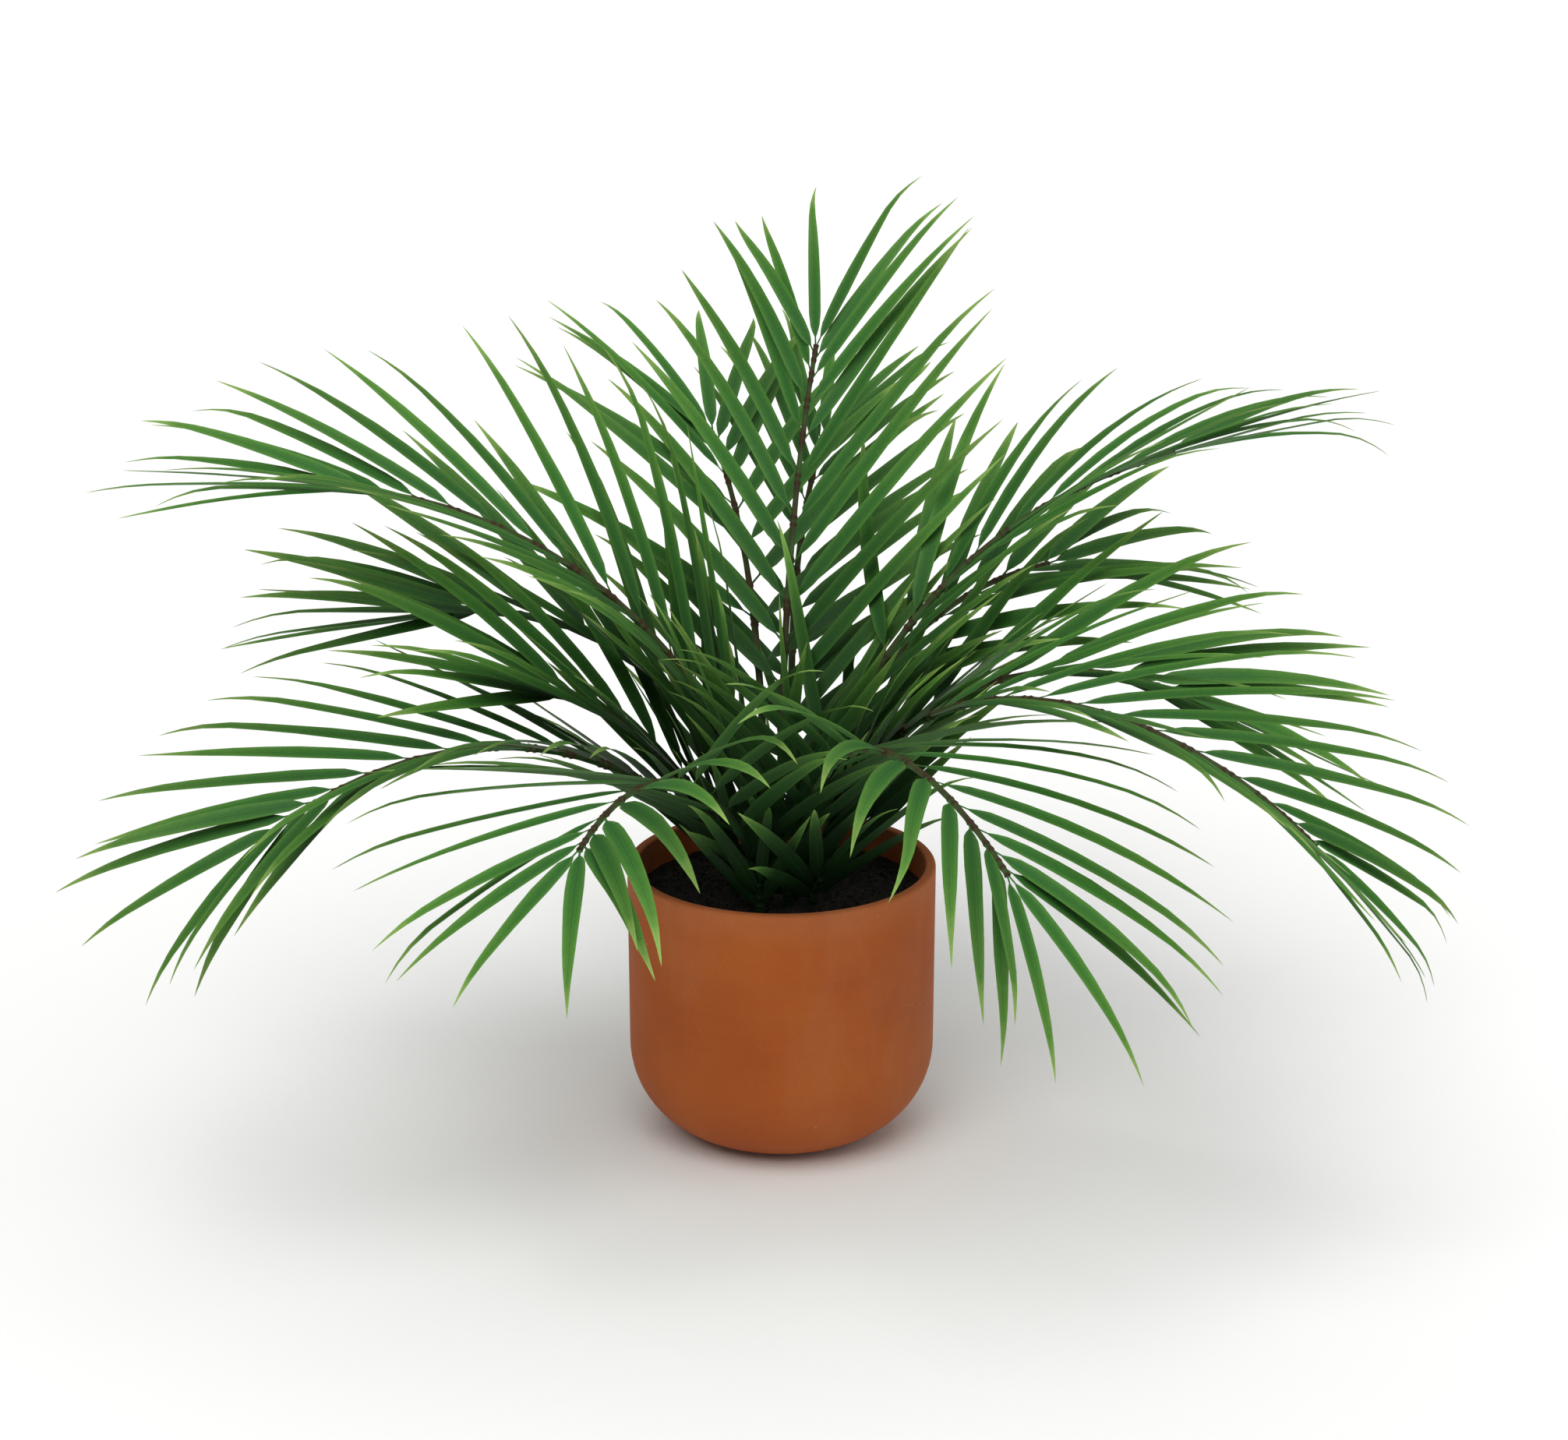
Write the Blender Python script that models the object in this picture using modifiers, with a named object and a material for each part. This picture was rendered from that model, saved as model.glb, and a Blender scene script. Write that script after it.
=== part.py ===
"""Potted areca palm: a terracotta pot, its potting soil and the fronds that grow out of it.

Each frond is one closed solid: a stem that goes down into a pocket of the soil, arches outwards
and carries two rows of narrow leaflets. Lengths are metres and angles are degrees.
The origin is the middle of the pot's underside, +Z is up and -Y is the front.
"""

from __future__ import annotations

import math
from dataclasses import dataclass, replace

import bmesh
import bpy
import numpy as np
from mathutils.bvhtree import BVHTree

# Pot
POT_DIAMETER = 0.150
POT_HEIGHT = 0.138
POT_TAPER = 0.0004
POT_WALL = 0.005
POT_FLOOR = 0.006
POT_CORNER = 0.046
LIP_ROUND = 0.002
POT_SIDES = 32

# Soil
RIM_TO_SOIL = 0.0155
SOIL_DOME = 0.0015
FIT_GAP = 0.0003

# Stems
STEM_RADIUS = 0.0019
STEM_TIP_SHARE = 0.42
STEM_SPANS = 10
ROOT_DEPTH = 0.012
ROOT_RISE = 0.001
POCKET_RADIUS = 0.0024

# Leaflets
PITCH = 0.0212
LAST_NODE = 0.985
FULL_SHARE = 0.36
TIP_GAP = 0.5
CROWDED_PAIRS = 3
FOOT_BEND = 0.4
LEAFLET_WIDTH = 0.0110
LEAFLET_THICKNESS = 0.0006
BLADE_SPANS = 16
STALK_SHARE = 0.14
SOLID_SHARES = (0.0, STALK_SHARE, 0.50, 1.0)
FINE_SHARES = (0.0, STALK_SHARE, 0.30, 0.45, 0.60, 0.75, 0.88, 1.0)
STALK_OFFSET = 0.0004
STAGGER = 0.18

# Room that a leaflet keeps from everything but its own stem
CLEARANCE = 0.0010
NUDGES = (0, 6, -6, 12, -12, 19, -19)
SHORTENED = ((1.0, 0), (0.86, 14), (0.70, 28))

TERRACOTTA = (0.30, 0.085, 0.025)
SOIL_BLACK = (0.012, 0.010, 0.009)
LEAF_GREEN = (0.035, 0.14, 0.03)


@dataclass(frozen=True)
class Frond:
    """One frond. Its heading is an angle about +Z from +X, and left and right are as seen from its foot."""

    name: str
    foot: tuple[float, float]
    heading: float
    rise: float
    droop: float
    length: float
    leaflet: float
    sway: float = 0.0
    start: float = 0.03
    roll: float = 0.0
    twist: float = 0.0
    sweep: tuple[float, float] = (52.0, 26.0)
    foot_sweep: float = 30.0
    skew: tuple[float, float] = (0.0, 0.0)
    lift: tuple[float, float] = (18.0, 18.0)
    inner_lift: tuple[float, float] = (0.0, 0.0)
    sag: tuple[float, float] = (22.0, 22.0)
    curl: float = 0.6
    shares: tuple[float, float, float] = (0.80, 1.0, 0.72)
    pitch: float = PITCH


FRONDS = (
    Frond("frond_crown", (-1, 5), 89, 67, 8, 0.270, 0.160, sway=-18, roll=-22, twist=12,
          sweep=(43, 23), lift=(2, 5), sag=(19, 7), curl=0.3, shares=(0.98, 1.0, 0.62), foot_sweep=36),
    Frond("frond_left_high", (-7, 1), 189, 82, 77, 0.305, 0.156, sway=-8, roll=-14, twist=12,
          sweep=(46, 18), lift=(10, 24), sag=(11, 13), curl=0.7, shares=(1.26, 1.0, 0.76), foot_sweep=24),
    Frond("frond_right_high", (6, 1), 27, 77, 64, 0.296, 0.150, sway=-28, twist=-9,
          sweep=(46, 13), lift=(24, 10), sag=(26, 8), shares=(0.98, 1.0, 0.74), foot_sweep=26),
    Frond("frond_front_right", (6, -15), -77, 69, 103, 0.300, 0.156, sway=19, roll=-3, twist=-8,
          sweep=(47, 30), lift=(12, 13), inner_lift=(0, 22), sag=(21, 21), shares=(0.86, 1.0, 0.68),
          foot_sweep=24, start=0.0),
    Frond("frond_front_left", (-6, -15), 244, 60, 77, 0.251, 0.150, sway=8, roll=4, twist=8,
          sweep=(56, 31), lift=(8, 7), inner_lift=(40, 0), sag=(27, 10), curl=0.5,
          shares=(0.88, 1.0, 0.68), foot_sweep=26, start=0.0),
    Frond("frond_left_low", (-13.5, -8.5), 217, 58, 84, 0.298, 0.132, sway=-2, roll=8, twist=-18,
          sweep=(40, 26), skew=(-14, 0), lift=(12, 14), sag=(20, 9), shares=(0.92, 1.0, 0.80)),
    Frond("frond_right_low", (13.5, -8.5), -57, 70, 113, 0.368, 0.146, sway=33, roll=1, twist=-12,
          sweep=(38, 33), skew=(0, -22), lift=(25, 24), inner_lift=(0, -55), sag=(15, 6), curl=0.8,
          shares=(0.92, 1.0, 0.58)),
    Frond("frond_left_inner", (-16, -2), 203, 70, 44, 0.150, 0.150, sway=-2, roll=-30, twist=-6,
          sweep=(40, 20), skew=(-16, 0), lift=(24, 10), sag=(6, 20), pitch=0.019, shares=(0.95, 1.0, 0.85)),
    Frond("shoot_front", (3, -25), 272, 80, 6, 0.018, 0.095,
          sweep=(34, 12), foot_sweep=50, lift=(-2, -2), sag=(10, 10), start=0.0, pitch=0.010),
    Frond("shoot_left", (-10, -35), 258, 80, 6, 0.016, 0.078,
          sweep=(20, 7), foot_sweep=26, lift=(-2, -2), sag=(8, 8), start=0.0, pitch=0.010),
    Frond("shoot_right", (14, -24), 300, 66, 12, 0.018, 0.100,
          sweep=(44, 14), foot_sweep=52, lift=(0, 0), sag=(14, 14), start=0.0, pitch=0.010),
    Frond("frond_right_mid", (16, 0.5), -9, 79, 100, 0.232, 0.142, sway=-3, roll=12, twist=6,
          sweep=(45, 20), skew=(0, -24), lift=(18, 22), sag=(18, 6), pitch=0.0198, shares=(0.85, 1.0, 0.8)),
    Frond("frond_left_mid", (-15, 6), 168, 86, 92, 0.218, 0.148, sway=12, roll=-12, twist=-8,
          sweep=(44, 18), skew=(-24, 0), lift=(24, 24), sag=(4, 11), pitch=0.0198, shares=(0.85, 1.0, 0.8)),
    Frond("frond_right_back", (13, 9), 33, 85, 82, 0.214, 0.138, sway=-11, roll=10, twist=8,
          sweep=(50, 22), lift=(22, 14), sag=(18, 20), pitch=0.0198, shares=(0.85, 1.0, 0.8)),
    Frond("frond_back_left", (-7.5, 14), 92, 69, 34, 0.240, 0.152, sway=20, roll=5, twist=2,
          sweep=(62, 26), lift=(19, 20), sag=(17, 25), foot_sweep=36),
    Frond("frond_back_right", (7.5, 14), 95, 59, 28, 0.252, 0.130, sway=-22, roll=7, twist=10,
          sweep=(52, 22), lift=(12, 10), sag=(15, 12), foot_sweep=34),
    Frond("shoot_outer_left", (-23, -4), 118, 76, 14, 0.060, 0.130,
          sweep=(42, 14), foot_sweep=40, lift=(0, 0), sag=(10, 10), start=0.0, pitch=0.015),
    Frond("shoot_outer_right", (23, -4), 62, 76, 14, 0.060, 0.130,
          sweep=(42, 14), foot_sweep=40, lift=(0, 0), sag=(10, 10), start=0.0, pitch=0.015),
    Frond("shoot_heart", (0, -7), 268, 87, 2, 0.050, 0.120,
          sweep=(38, 14), foot_sweep=44, lift=(0, 0), sag=(8, 8), start=0.0, pitch=0.013),
)


STEM_STATIONS = 40
BEND_POWER = 1.1
SWAY_POWER = 1.4
SAG_POWER = 1.4
SPREAD_PULL = 0.2
SCATTER = {"sweep": 2.5, "lift": 3.0, "sag": 4.0, "length": 0.04}


# ---------------------------------------------------------------- geometry of a frond


def unit(vector: np.ndarray) -> np.ndarray:
    """The vector at length one."""
    return vector / max(float(np.linalg.norm(vector)), 1e-9)


def soil_level(x: float, y: float) -> float:
    """Height of the slightly domed soil surface."""
    inner = POT_DIAMETER / 2 - POT_WALL
    return POT_HEIGHT - RIM_TO_SOIL + SOIL_DOME * max(0.0, 1 - (x * x + y * y) / inner**2)


@dataclass(frozen=True)
class Spine:
    """A stem's middle line, with its forward, upward and rightward directions."""

    points: np.ndarray
    forward: np.ndarray
    upward: np.ndarray
    rightward: np.ndarray

    def at(self, share: float) -> tuple[np.ndarray, np.ndarray, np.ndarray, np.ndarray]:
        """Place and directions at a share of the length."""
        station = min(max(share, 0.0), 1.0) * STEM_STATIONS
        low = min(int(station), STEM_STATIONS - 1)
        part = station - low
        near = min(int(round(station)), STEM_STATIONS)
        place = self.points[low] * (1 - part) + self.points[low + 1] * part
        return place, self.forward[near], self.upward[near], self.rightward[near]


def spine_of(frond: Frond) -> Spine:
    """The stem rises from its foot and bends over evenly along its length."""
    share = np.arange(STEM_STATIONS + 1) / STEM_STATIONS
    climb = np.radians(frond.rise - frond.droop * share**BEND_POWER)
    heading = np.radians(frond.heading + frond.sway * share**SWAY_POWER)
    level = np.cos(climb)
    forward = np.stack([level * np.cos(heading), level * np.sin(heading), np.sin(climb)], -1)
    steep = -np.sin(climb)
    upward = np.stack([steep * np.cos(heading), steep * np.sin(heading), level], -1)
    rightward = np.stack([np.sin(heading), -np.cos(heading), 0 * heading], -1)
    turn = np.radians(frond.roll + frond.twist * share)[:, None]
    turned_up = upward * np.cos(turn) + rightward * np.sin(turn)
    turned_right = rightward * np.cos(turn) - upward * np.sin(turn)
    x, y = (0.001 * value for value in frond.foot)
    foot = np.array([x, y, soil_level(x, y) + ROOT_RISE])
    steps = np.cumsum(forward[:-1] * frond.length / STEM_STATIONS, axis=0)
    return Spine(np.vstack([foot, foot + steps]), forward, turned_up, turned_right)


@dataclass(frozen=True)
class Leaflet:
    """Where one leaflet grows on its frond and how it leaves the stem."""

    share: float
    side: int
    length: float
    width: float
    sweep: float
    lift: float
    sag: float
    curl: float


@dataclass(frozen=True)
class Blade:
    """A leaflet's middle line, its sideways direction and its half width at each station."""

    points: np.ndarray
    across: np.ndarray
    normal: np.ndarray
    half_width: np.ndarray


def width_share(share: float) -> float:
    """Outline of a leaflet: a thin stalk, a sloping shoulder, a long even blade and a thread-like tip."""
    if share < 0.04:
        return 0.14
    if share < 0.12:
        return 0.14 + 0.56 * ((share - 0.04) / 0.08) ** 0.8
    if share < 0.32:
        return 0.70 + 0.30 * math.sin((share - 0.12) / 0.20 * math.pi / 2)
    body = 1 - (max(0.0, share - 0.32) / 0.62) ** 2.0
    thread = 0.16 - 0.13 * max(0.0, share - 0.80) / 0.20
    return max(body, thread)


def length_share(frond: Frond, age: float) -> float:
    """Leaflet length along the stem: longest a third of the way down from the tip, shorter at both ends.

    Args:
        frond: The frond.
        age: Zero at the stem's tip and one at the lowest full-grown leaflet.

    Returns:
        The length as a share of the frond's leaflet length.
    """
    base, full, tip = frond.shares
    if age <= 0.65:
        return full + (tip - full) * (1 - age / 0.65) ** 1.8
    if age <= 1.0:
        return full + (base - full) * (age - 0.65) / 0.35
    return max(0.75, base - 0.20 * (age - 1.0))


def node_shares(frond: Frond) -> list[float]:
    """Places of a frond's pairs of leaflets from the tip down, crowded towards the tip.

    Args:
        frond: The frond.

    Returns:
        The shares of the stem's length.
    """
    shares = []
    share = LAST_NODE
    while share > frond.start:
        gap = TIP_GAP + (1 - TIP_GAP) * min(1.0, len(shares) / CROWDED_PAIRS)
        shares.append(share)
        share -= gap * frond.pitch / frond.length
    return shares


def sweep_angle(frond: Frond, share: float, ends_stem: bool) -> float:
    """Angle between a leaflet and its stem: widest below the middle, narrow at the tip and at the foot.

    Args:
        frond: The frond.
        share: The leaflet's place on the stem.
        ends_stem: Whether it is one of the pair that ends the stem.

    Returns:
        The angle.
    """
    full, tip = frond.sweep
    if ends_stem:
        return max(6.0, 0.45 * tip)
    if share > FULL_SHARE:
        return full + (tip - full) * (share - FULL_SHARE) / (1 - FULL_SHARE)
    return full + (frond.foot_sweep - full) * (1 - share / FULL_SHARE)


def leaflets_of(frond: Frond, seed: int) -> list[Leaflet]:
    """Set out a frond's leaflets in pairs from the tip down to the foot, with a little natural scatter.

    Args:
        frond: The frond.
        seed: The seed of the scatter.

    Returns:
        The leaflets, those at the tip first.
    """
    draw = np.random.default_rng(seed)
    grown = []
    for step, place in enumerate([1.0, *node_shares(frond)]):
        for side in (-1, 1):
            ends_stem = step == 0
            share = place if ends_stem or side < 0 else place - STAGGER * frond.pitch / frond.length
            age = 1 - (share - FULL_SHARE) / (1 - FULL_SHARE)
            row = 0 if side < 0 else 1
            bend = FOOT_BEND + (1 - FOOT_BEND) * min(1.0, share / FULL_SHARE)
            fullness = min(0.80 + 0.20 * age, 0.62 + 0.38 * share / FULL_SHARE)
            scatter = {key: reach * draw.uniform(-1, 1) for key, reach in SCATTER.items()}
            lift = frond.lift[row] * min(0.55 + 0.45 * age, share / FULL_SHARE)
            skew = frond.skew[row] * min(1.0, age)
            grown.append(Leaflet(
                share=share,
                side=side,
                length=frond.leaflet * length_share(frond, age) * (1 + scatter["length"]),
                width=LEAFLET_WIDTH * fullness * (0.40 + 0.60 * frond.leaflet / 0.15),
                sweep=sweep_angle(frond, share, ends_stem) + skew + scatter["sweep"],
                lift=lift + frond.inner_lift[row] * (1 - share) + scatter["lift"],
                sag=frond.sag[row] * bend + scatter["sag"],
                curl=frond.curl * min(1.0, share / FULL_SHARE),
            ))
    return grown


def turned(vector: np.ndarray, axis: np.ndarray, angle: np.ndarray) -> np.ndarray:
    """The vector turned about the axis, one row for each angle."""
    cosine, sine = np.cos(angle), np.sin(angle)
    return vector * cosine + np.cross(axis, vector) * sine + axis * (axis @ vector) * (1 - cosine)


def blade_of(frond: Frond, spine: Spine, leaf: Leaflet, shares: tuple[float, ...]) -> Blade:
    """Bend one leaflet: it leaves the stem forwards and sideways, then curves down and along the stem.

    Args:
        frond: The frond that it grows on.
        spine: That frond's stem.
        leaf: The leaflet's place and angles.
        shares: The shares of the leaflet's length at which its stations stand.

    Returns:
        The leaflet's stations.
    """
    place, forward, upward, rightward = spine.at(leaf.share)
    sideways = rightward * leaf.side
    sweep, lift, sag = (math.radians(value) for value in (leaf.sweep, leaf.lift, leaf.sag))
    outward = math.cos(lift) * sideways + math.sin(lift) * upward
    start = math.cos(sweep) * forward + math.sin(sweep) * outward
    across = unit(forward - (forward @ start) * start)
    normal = np.cross(across, start)
    if normal @ upward < 0:
        normal = -normal
    spread = unit(np.array([sideways[0], sideways[1], 1e-9]))
    pull = unit(np.array([0.0, 0.0, -1.0]) + SPREAD_PULL * spread + leaf.curl * forward)
    axis = unit(np.cross(start, pull))
    fine = np.arange(BLADE_SPANS) / BLADE_SPANS + 0.5 / BLADE_SPANS
    steps = turned(start, axis, (sag * fine**SAG_POWER)[:, None]) * leaf.length / BLADE_SPANS
    root = place + outward * STALK_OFFSET
    line = np.vstack([root, root + np.cumsum(steps, axis=0)])
    share = np.array(shares)
    stations = np.arange(BLADE_SPANS + 1)
    points = np.stack([np.interp(share * BLADE_SPANS, stations, line[:, k]) for k in range(3)], -1)
    angle = (sag * share**SAG_POWER)[:, None]
    along = turned(start, axis, angle)
    face = turned(normal, axis, angle)
    half = np.array([width_share(value) for value in shares]) * leaf.width / 2
    return Blade(points, np.cross(face, along), face, half)


@dataclass(frozen=True)
class Envelope:
    """A closed sleeve round a piece, with its box, for finding what comes too close."""

    owner: str
    tree: BVHTree
    low: np.ndarray
    high: np.ndarray


def sleeve(owner: str, rings: np.ndarray) -> Envelope:
    """A sleeve through rings of equal size, given as an array of rings, corners and coordinates."""
    count, sides, _ = rings.shape
    faces = []
    for ring in range(count - 1):
        for corner in range(sides):
            beside = (corner + 1) % sides
            base = ring * sides
            faces.append((base + corner, base + beside, base + sides + beside, base + sides + corner))
    faces.append(tuple(range(sides)))
    faces.append(tuple(range((count - 1) * sides, count * sides)))
    points = rings.reshape(-1, 3)
    tree = BVHTree.FromPolygons([tuple(point) for point in points], faces)
    return Envelope(owner, tree, points.min(axis=0), points.max(axis=0))


def blade_sleeves(name: str, blade: Blade) -> list[Envelope]:
    """The room that a leaflet takes: its stalk's, owned by the frond, and the rest of the blade's."""
    reach = (blade.half_width + CLEARANCE / 2)[:, None]
    rise = CLEARANCE / 2 + LEAFLET_THICKNESS / 2
    corners = [
        blade.points + blade.across * reach * a + blade.normal * rise * b
        for a, b in ((1, 1), (-1, 1), (-1, -1), (1, -1))
    ]
    rings = np.stack(corners, axis=1)
    return [sleeve(name, rings[:2]), sleeve(f"{name}_leaflet", rings[1:])]


class Room:
    """All the room that is taken so far by one kind of blade."""

    def __init__(self, taken: list[Envelope]) -> None:
        """Start with the pieces that stand already."""
        self.taken: list[Envelope] = []
        self.lows = np.zeros((0, 3))
        self.highs = np.zeros((0, 3))
        self.add(taken)

    def add(self, more: list[Envelope]) -> None:
        """Take the room of these sleeves."""
        self.taken += more
        self.lows = np.vstack([self.lows, [item.low for item in more]])
        self.highs = np.vstack([self.highs, [item.high for item in more]])

    def is_free(self, item: Envelope, ignored: tuple[str, ...]) -> bool:
        """Whether a sleeve meets nothing but what the ignored owners hold."""
        near = np.all((self.lows <= item.high) & (self.highs >= item.low), axis=1)
        others = (self.taken[index] for index in np.flatnonzero(near))
        return not any(other.owner not in ignored and item.tree.overlap(other.tree) for other in others)

    def fits(self, name: str, sleeves: list[Envelope]) -> bool:
        """Whether a leaflet's stalk is clear of the other fronds, and its blade of all leaflets too."""
        stalk, rest = sleeves
        return self.is_free(rest, (name,)) and self.is_free(stalk, (name, f"{name}_leaflet"))


def stem_radius(share: float) -> float:
    """The stem thins evenly towards its tip."""
    return STEM_RADIUS * (1 - (1 - STEM_TIP_SHARE) * share)


def stem_sleeve(frond: Frond, spine: Spine) -> Envelope:
    """The room that a stem takes."""
    rings = []
    for step in range(0, STEM_STATIONS + 1, 2):
        reach = stem_radius(step / STEM_STATIONS) + CLEARANCE / 2
        up, right = spine.upward[step] * reach, spine.rightward[step] * reach
        corners = (up + right, up - right, -up - right, right - up)
        rings.append([spine.points[step] + corner for corner in corners])
    return sleeve(frond.name, np.array(rings))


def round_sleeve(owner: str, profile: list[tuple[float, float]], sides: int = 32) -> Envelope:
    """The surface of a turned profile of radii and heights."""
    angles = [2 * math.pi * turn / sides for turn in range(sides)]
    rings = [[(r * math.cos(a), r * math.sin(a), z) for a in angles] for r, z in profile]
    return sleeve(owner, np.array(rings))


def pot_sleeves() -> list[Envelope]:
    """The room that the pot's wall and the soil take."""
    outer, inner = POT_DIAMETER / 2, POT_DIAMETER / 2 - POT_WALL
    room = CLEARANCE / 2
    wall = [(outer + room, 0.0), (outer + room, POT_HEIGHT + room), (inner - room, POT_HEIGHT + room),
            (inner - room, POT_HEIGHT - RIM_TO_SOIL)]
    top = POT_HEIGHT - RIM_TO_SOIL + room
    soil = [(inner, top - room), (inner, top), (inner / 2, top + SOIL_DOME * 0.8), (0.001, top + SOIL_DOME)]
    return [round_sleeve("pot", wall), round_sleeve("soil", soil)]


def nudged(leaf: Leaflet) -> list[Leaflet]:
    """The leaflet as it is and then with growing changes of lift, sweep and length."""
    moves = sorted(
        (abs(up) + abs(out) + cost, up, out, share)
        for up in NUDGES
        for out in NUDGES
        for share, cost in SHORTENED
    )
    return [
        replace(leaf, lift=leaf.lift + up, sweep=leaf.sweep + 0.6 * out, length=leaf.length * share)
        for _, up, out, share in moves
    ]


def grow() -> tuple[dict[str, Spine], dict[str, list[Leaflet]]]:
    """Give every leaflet the first of its nudged places that is clear of all that grew before it.

    The fine blades and the plain ones that the solids use are each kept clear of their like.

    Returns:
        The stems' lines, and each frond's leaflets that found room, by name.
    """
    spines = {frond.name: spine_of(frond) for frond in FRONDS}
    start = pot_sleeves() + [stem_sleeve(frond, spines[frond.name]) for frond in FRONDS]
    fine, plain = Room(start), Room(start)
    leaves: dict[str, list[Leaflet]] = {frond.name: [] for frond in FRONDS}
    for seed, frond in enumerate(FRONDS):
        name, spine = frond.name, spines[frond.name]
        for leaf in leaflets_of(frond, seed):
            for choice in nudged(leaf):
                fine_sleeves = blade_sleeves(name, blade_of(frond, spine, choice, FINE_SHARES))
                if not fine.fits(name, fine_sleeves):
                    continue
                plain_sleeves = blade_sleeves(name, blade_of(frond, spine, choice, SOLID_SHARES))
                if not plain.fits(name, plain_sleeves):
                    continue
                fine.add(fine_sleeves)
                plain.add(plain_sleeves)
                leaves[name].append(choice)
                break
    return spines, leaves


# ---------------------------------------------------------------- solids


def clear_scene() -> None:
    """Take every object out of the scene."""
    for item in list(bpy.data.objects):
        bpy.data.objects.remove(item, do_unlink=True)


def new_collection(name: str) -> bpy.types.Collection:
    """A collection in the scene."""
    collection = bpy.data.collections.new(name)
    bpy.context.scene.collection.children.link(collection)
    return collection


def material(name: str, colour: tuple[float, float, float], roughness: float) -> bpy.types.Material:
    """A plain Principled material."""
    made = bpy.data.materials.new(name)
    made.use_nodes = True
    shader = made.node_tree.nodes["Principled BSDF"]
    shader.inputs["Base Color"].default_value = (*colour, 1.0)
    shader.inputs["Roughness"].default_value = roughness
    shader.inputs["Metallic"].default_value = 0.0
    return made


def add_object(name: str, mesh: bpy.types.Mesh, home: bpy.types.Collection) -> bpy.types.Object:
    """An object that shows the mesh."""
    item = bpy.data.objects.new(name, mesh)
    home.objects.link(item)
    return item


def hide_tool(item: bpy.types.Object) -> bpy.types.Object:
    """Mark a helper that only joins or cuts."""
    item.hide_render = True
    item.display_type = "WIRE"
    return item


def arc(centre: tuple[float, float], radius: float, start: float, end: float, steps: int):
    """Points of radius and height on an arc, with angles in degrees from the outward direction."""
    for step in range(steps + 1):
        angle = math.radians(start + (end - start) * step / steps)
        yield centre[0] + radius * math.cos(angle), centre[1] + radius * math.sin(angle)


def inner_profile(gap: float, top: float) -> list[tuple[float, float]]:
    """The pot's inside from the axis outwards and up, drawn in by a gap."""
    low_radius = POT_DIAMETER / 2 - POT_TAPER - POT_WALL - gap
    corner = POT_CORNER - POT_WALL - gap
    floor = POT_FLOOR + gap
    centre = floor + corner
    widening = POT_TAPER * (top - centre) / (POT_HEIGHT - centre)
    points = [(0.0, floor)]
    points += arc((low_radius - corner, centre), corner, -90, 0, 4)
    points.append((low_radius + widening, top))
    return points


def screw_object(name: str, profile: list[tuple[float, float]], sides: int, home: bpy.types.Collection):
    """Turn a profile of radii and heights about the Z axis."""
    mesh = bpy.data.meshes.new(name)
    edges = [(index, index + 1) for index in range(len(profile) - 1)]
    mesh.from_pydata([(radius, 0.0, height) for radius, height in profile], edges, [])
    item = add_object(name, mesh, home)
    screw = item.modifiers.new("turn", "SCREW")
    screw.steps = sides
    screw.render_steps = sides
    screw.use_merge_vertices = True
    screw.merge_threshold = 0.00001
    return item


def build_pot(home: bpy.types.Collection) -> bpy.types.Object:
    """Straight-sided pot with a wide round bottom edge, a flat foot and a softened lip."""
    outer = POT_DIAMETER / 2
    low_radius = outer - POT_TAPER
    profile = inner_profile(0.0, POT_HEIGHT - 0.001)
    profile.append((outer - POT_WALL + 0.001, POT_HEIGHT))
    profile += arc((outer - LIP_ROUND, POT_HEIGHT - LIP_ROUND), LIP_ROUND, 90, 0, 3)
    profile += arc((low_radius - POT_CORNER, POT_CORNER), POT_CORNER, 0, -90, 6)
    profile.append((0.0, 0.0))
    pot = screw_object("pot", profile, POT_SIDES, home)
    pot.data.materials.append(material("terracotta", TERRACOTTA, 0.7))
    return pot


def build_soil(home: bpy.types.Collection, tools: bpy.types.Collection) -> bpy.types.Object:
    """Soil that fills the pot, slightly domed, with a pocket for every stem's root."""
    inner = POT_DIAMETER / 2 - POT_WALL - FIT_GAP
    profile = inner_profile(FIT_GAP, POT_HEIGHT - RIM_TO_SOIL)
    profile += [(inner * share, soil_level(inner * share, 0.0)) for share in (0.75, 0.45, 0.0)]
    soil = screw_object("soil", profile, POT_SIDES, home)
    soil.data.materials.append(material("potting_soil", SOIL_BLACK, 0.95))
    shape = bmesh.new()
    depth = ROOT_DEPTH + FIT_GAP
    for frond in FRONDS:
        x, y = (0.001 * value for value in frond.foot)
        made = bmesh.ops.create_cone(
            shape, cap_ends=True, segments=8, radius1=POCKET_RADIUS, radius2=POCKET_RADIUS, depth=2 * depth)
        bmesh.ops.translate(shape, verts=made["verts"], vec=(x, y, soil_level(x, y)))
    mesh = bpy.data.meshes.new("root_pockets")
    shape.to_mesh(mesh)
    shape.free()
    cutter = hide_tool(add_object("root_pockets", mesh, tools))
    cut = soil.modifiers.new("pockets", "BOOLEAN")
    cut.operation = "DIFFERENCE"
    cut.solver = "EXACT"
    cut.object = cutter
    return soil


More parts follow.
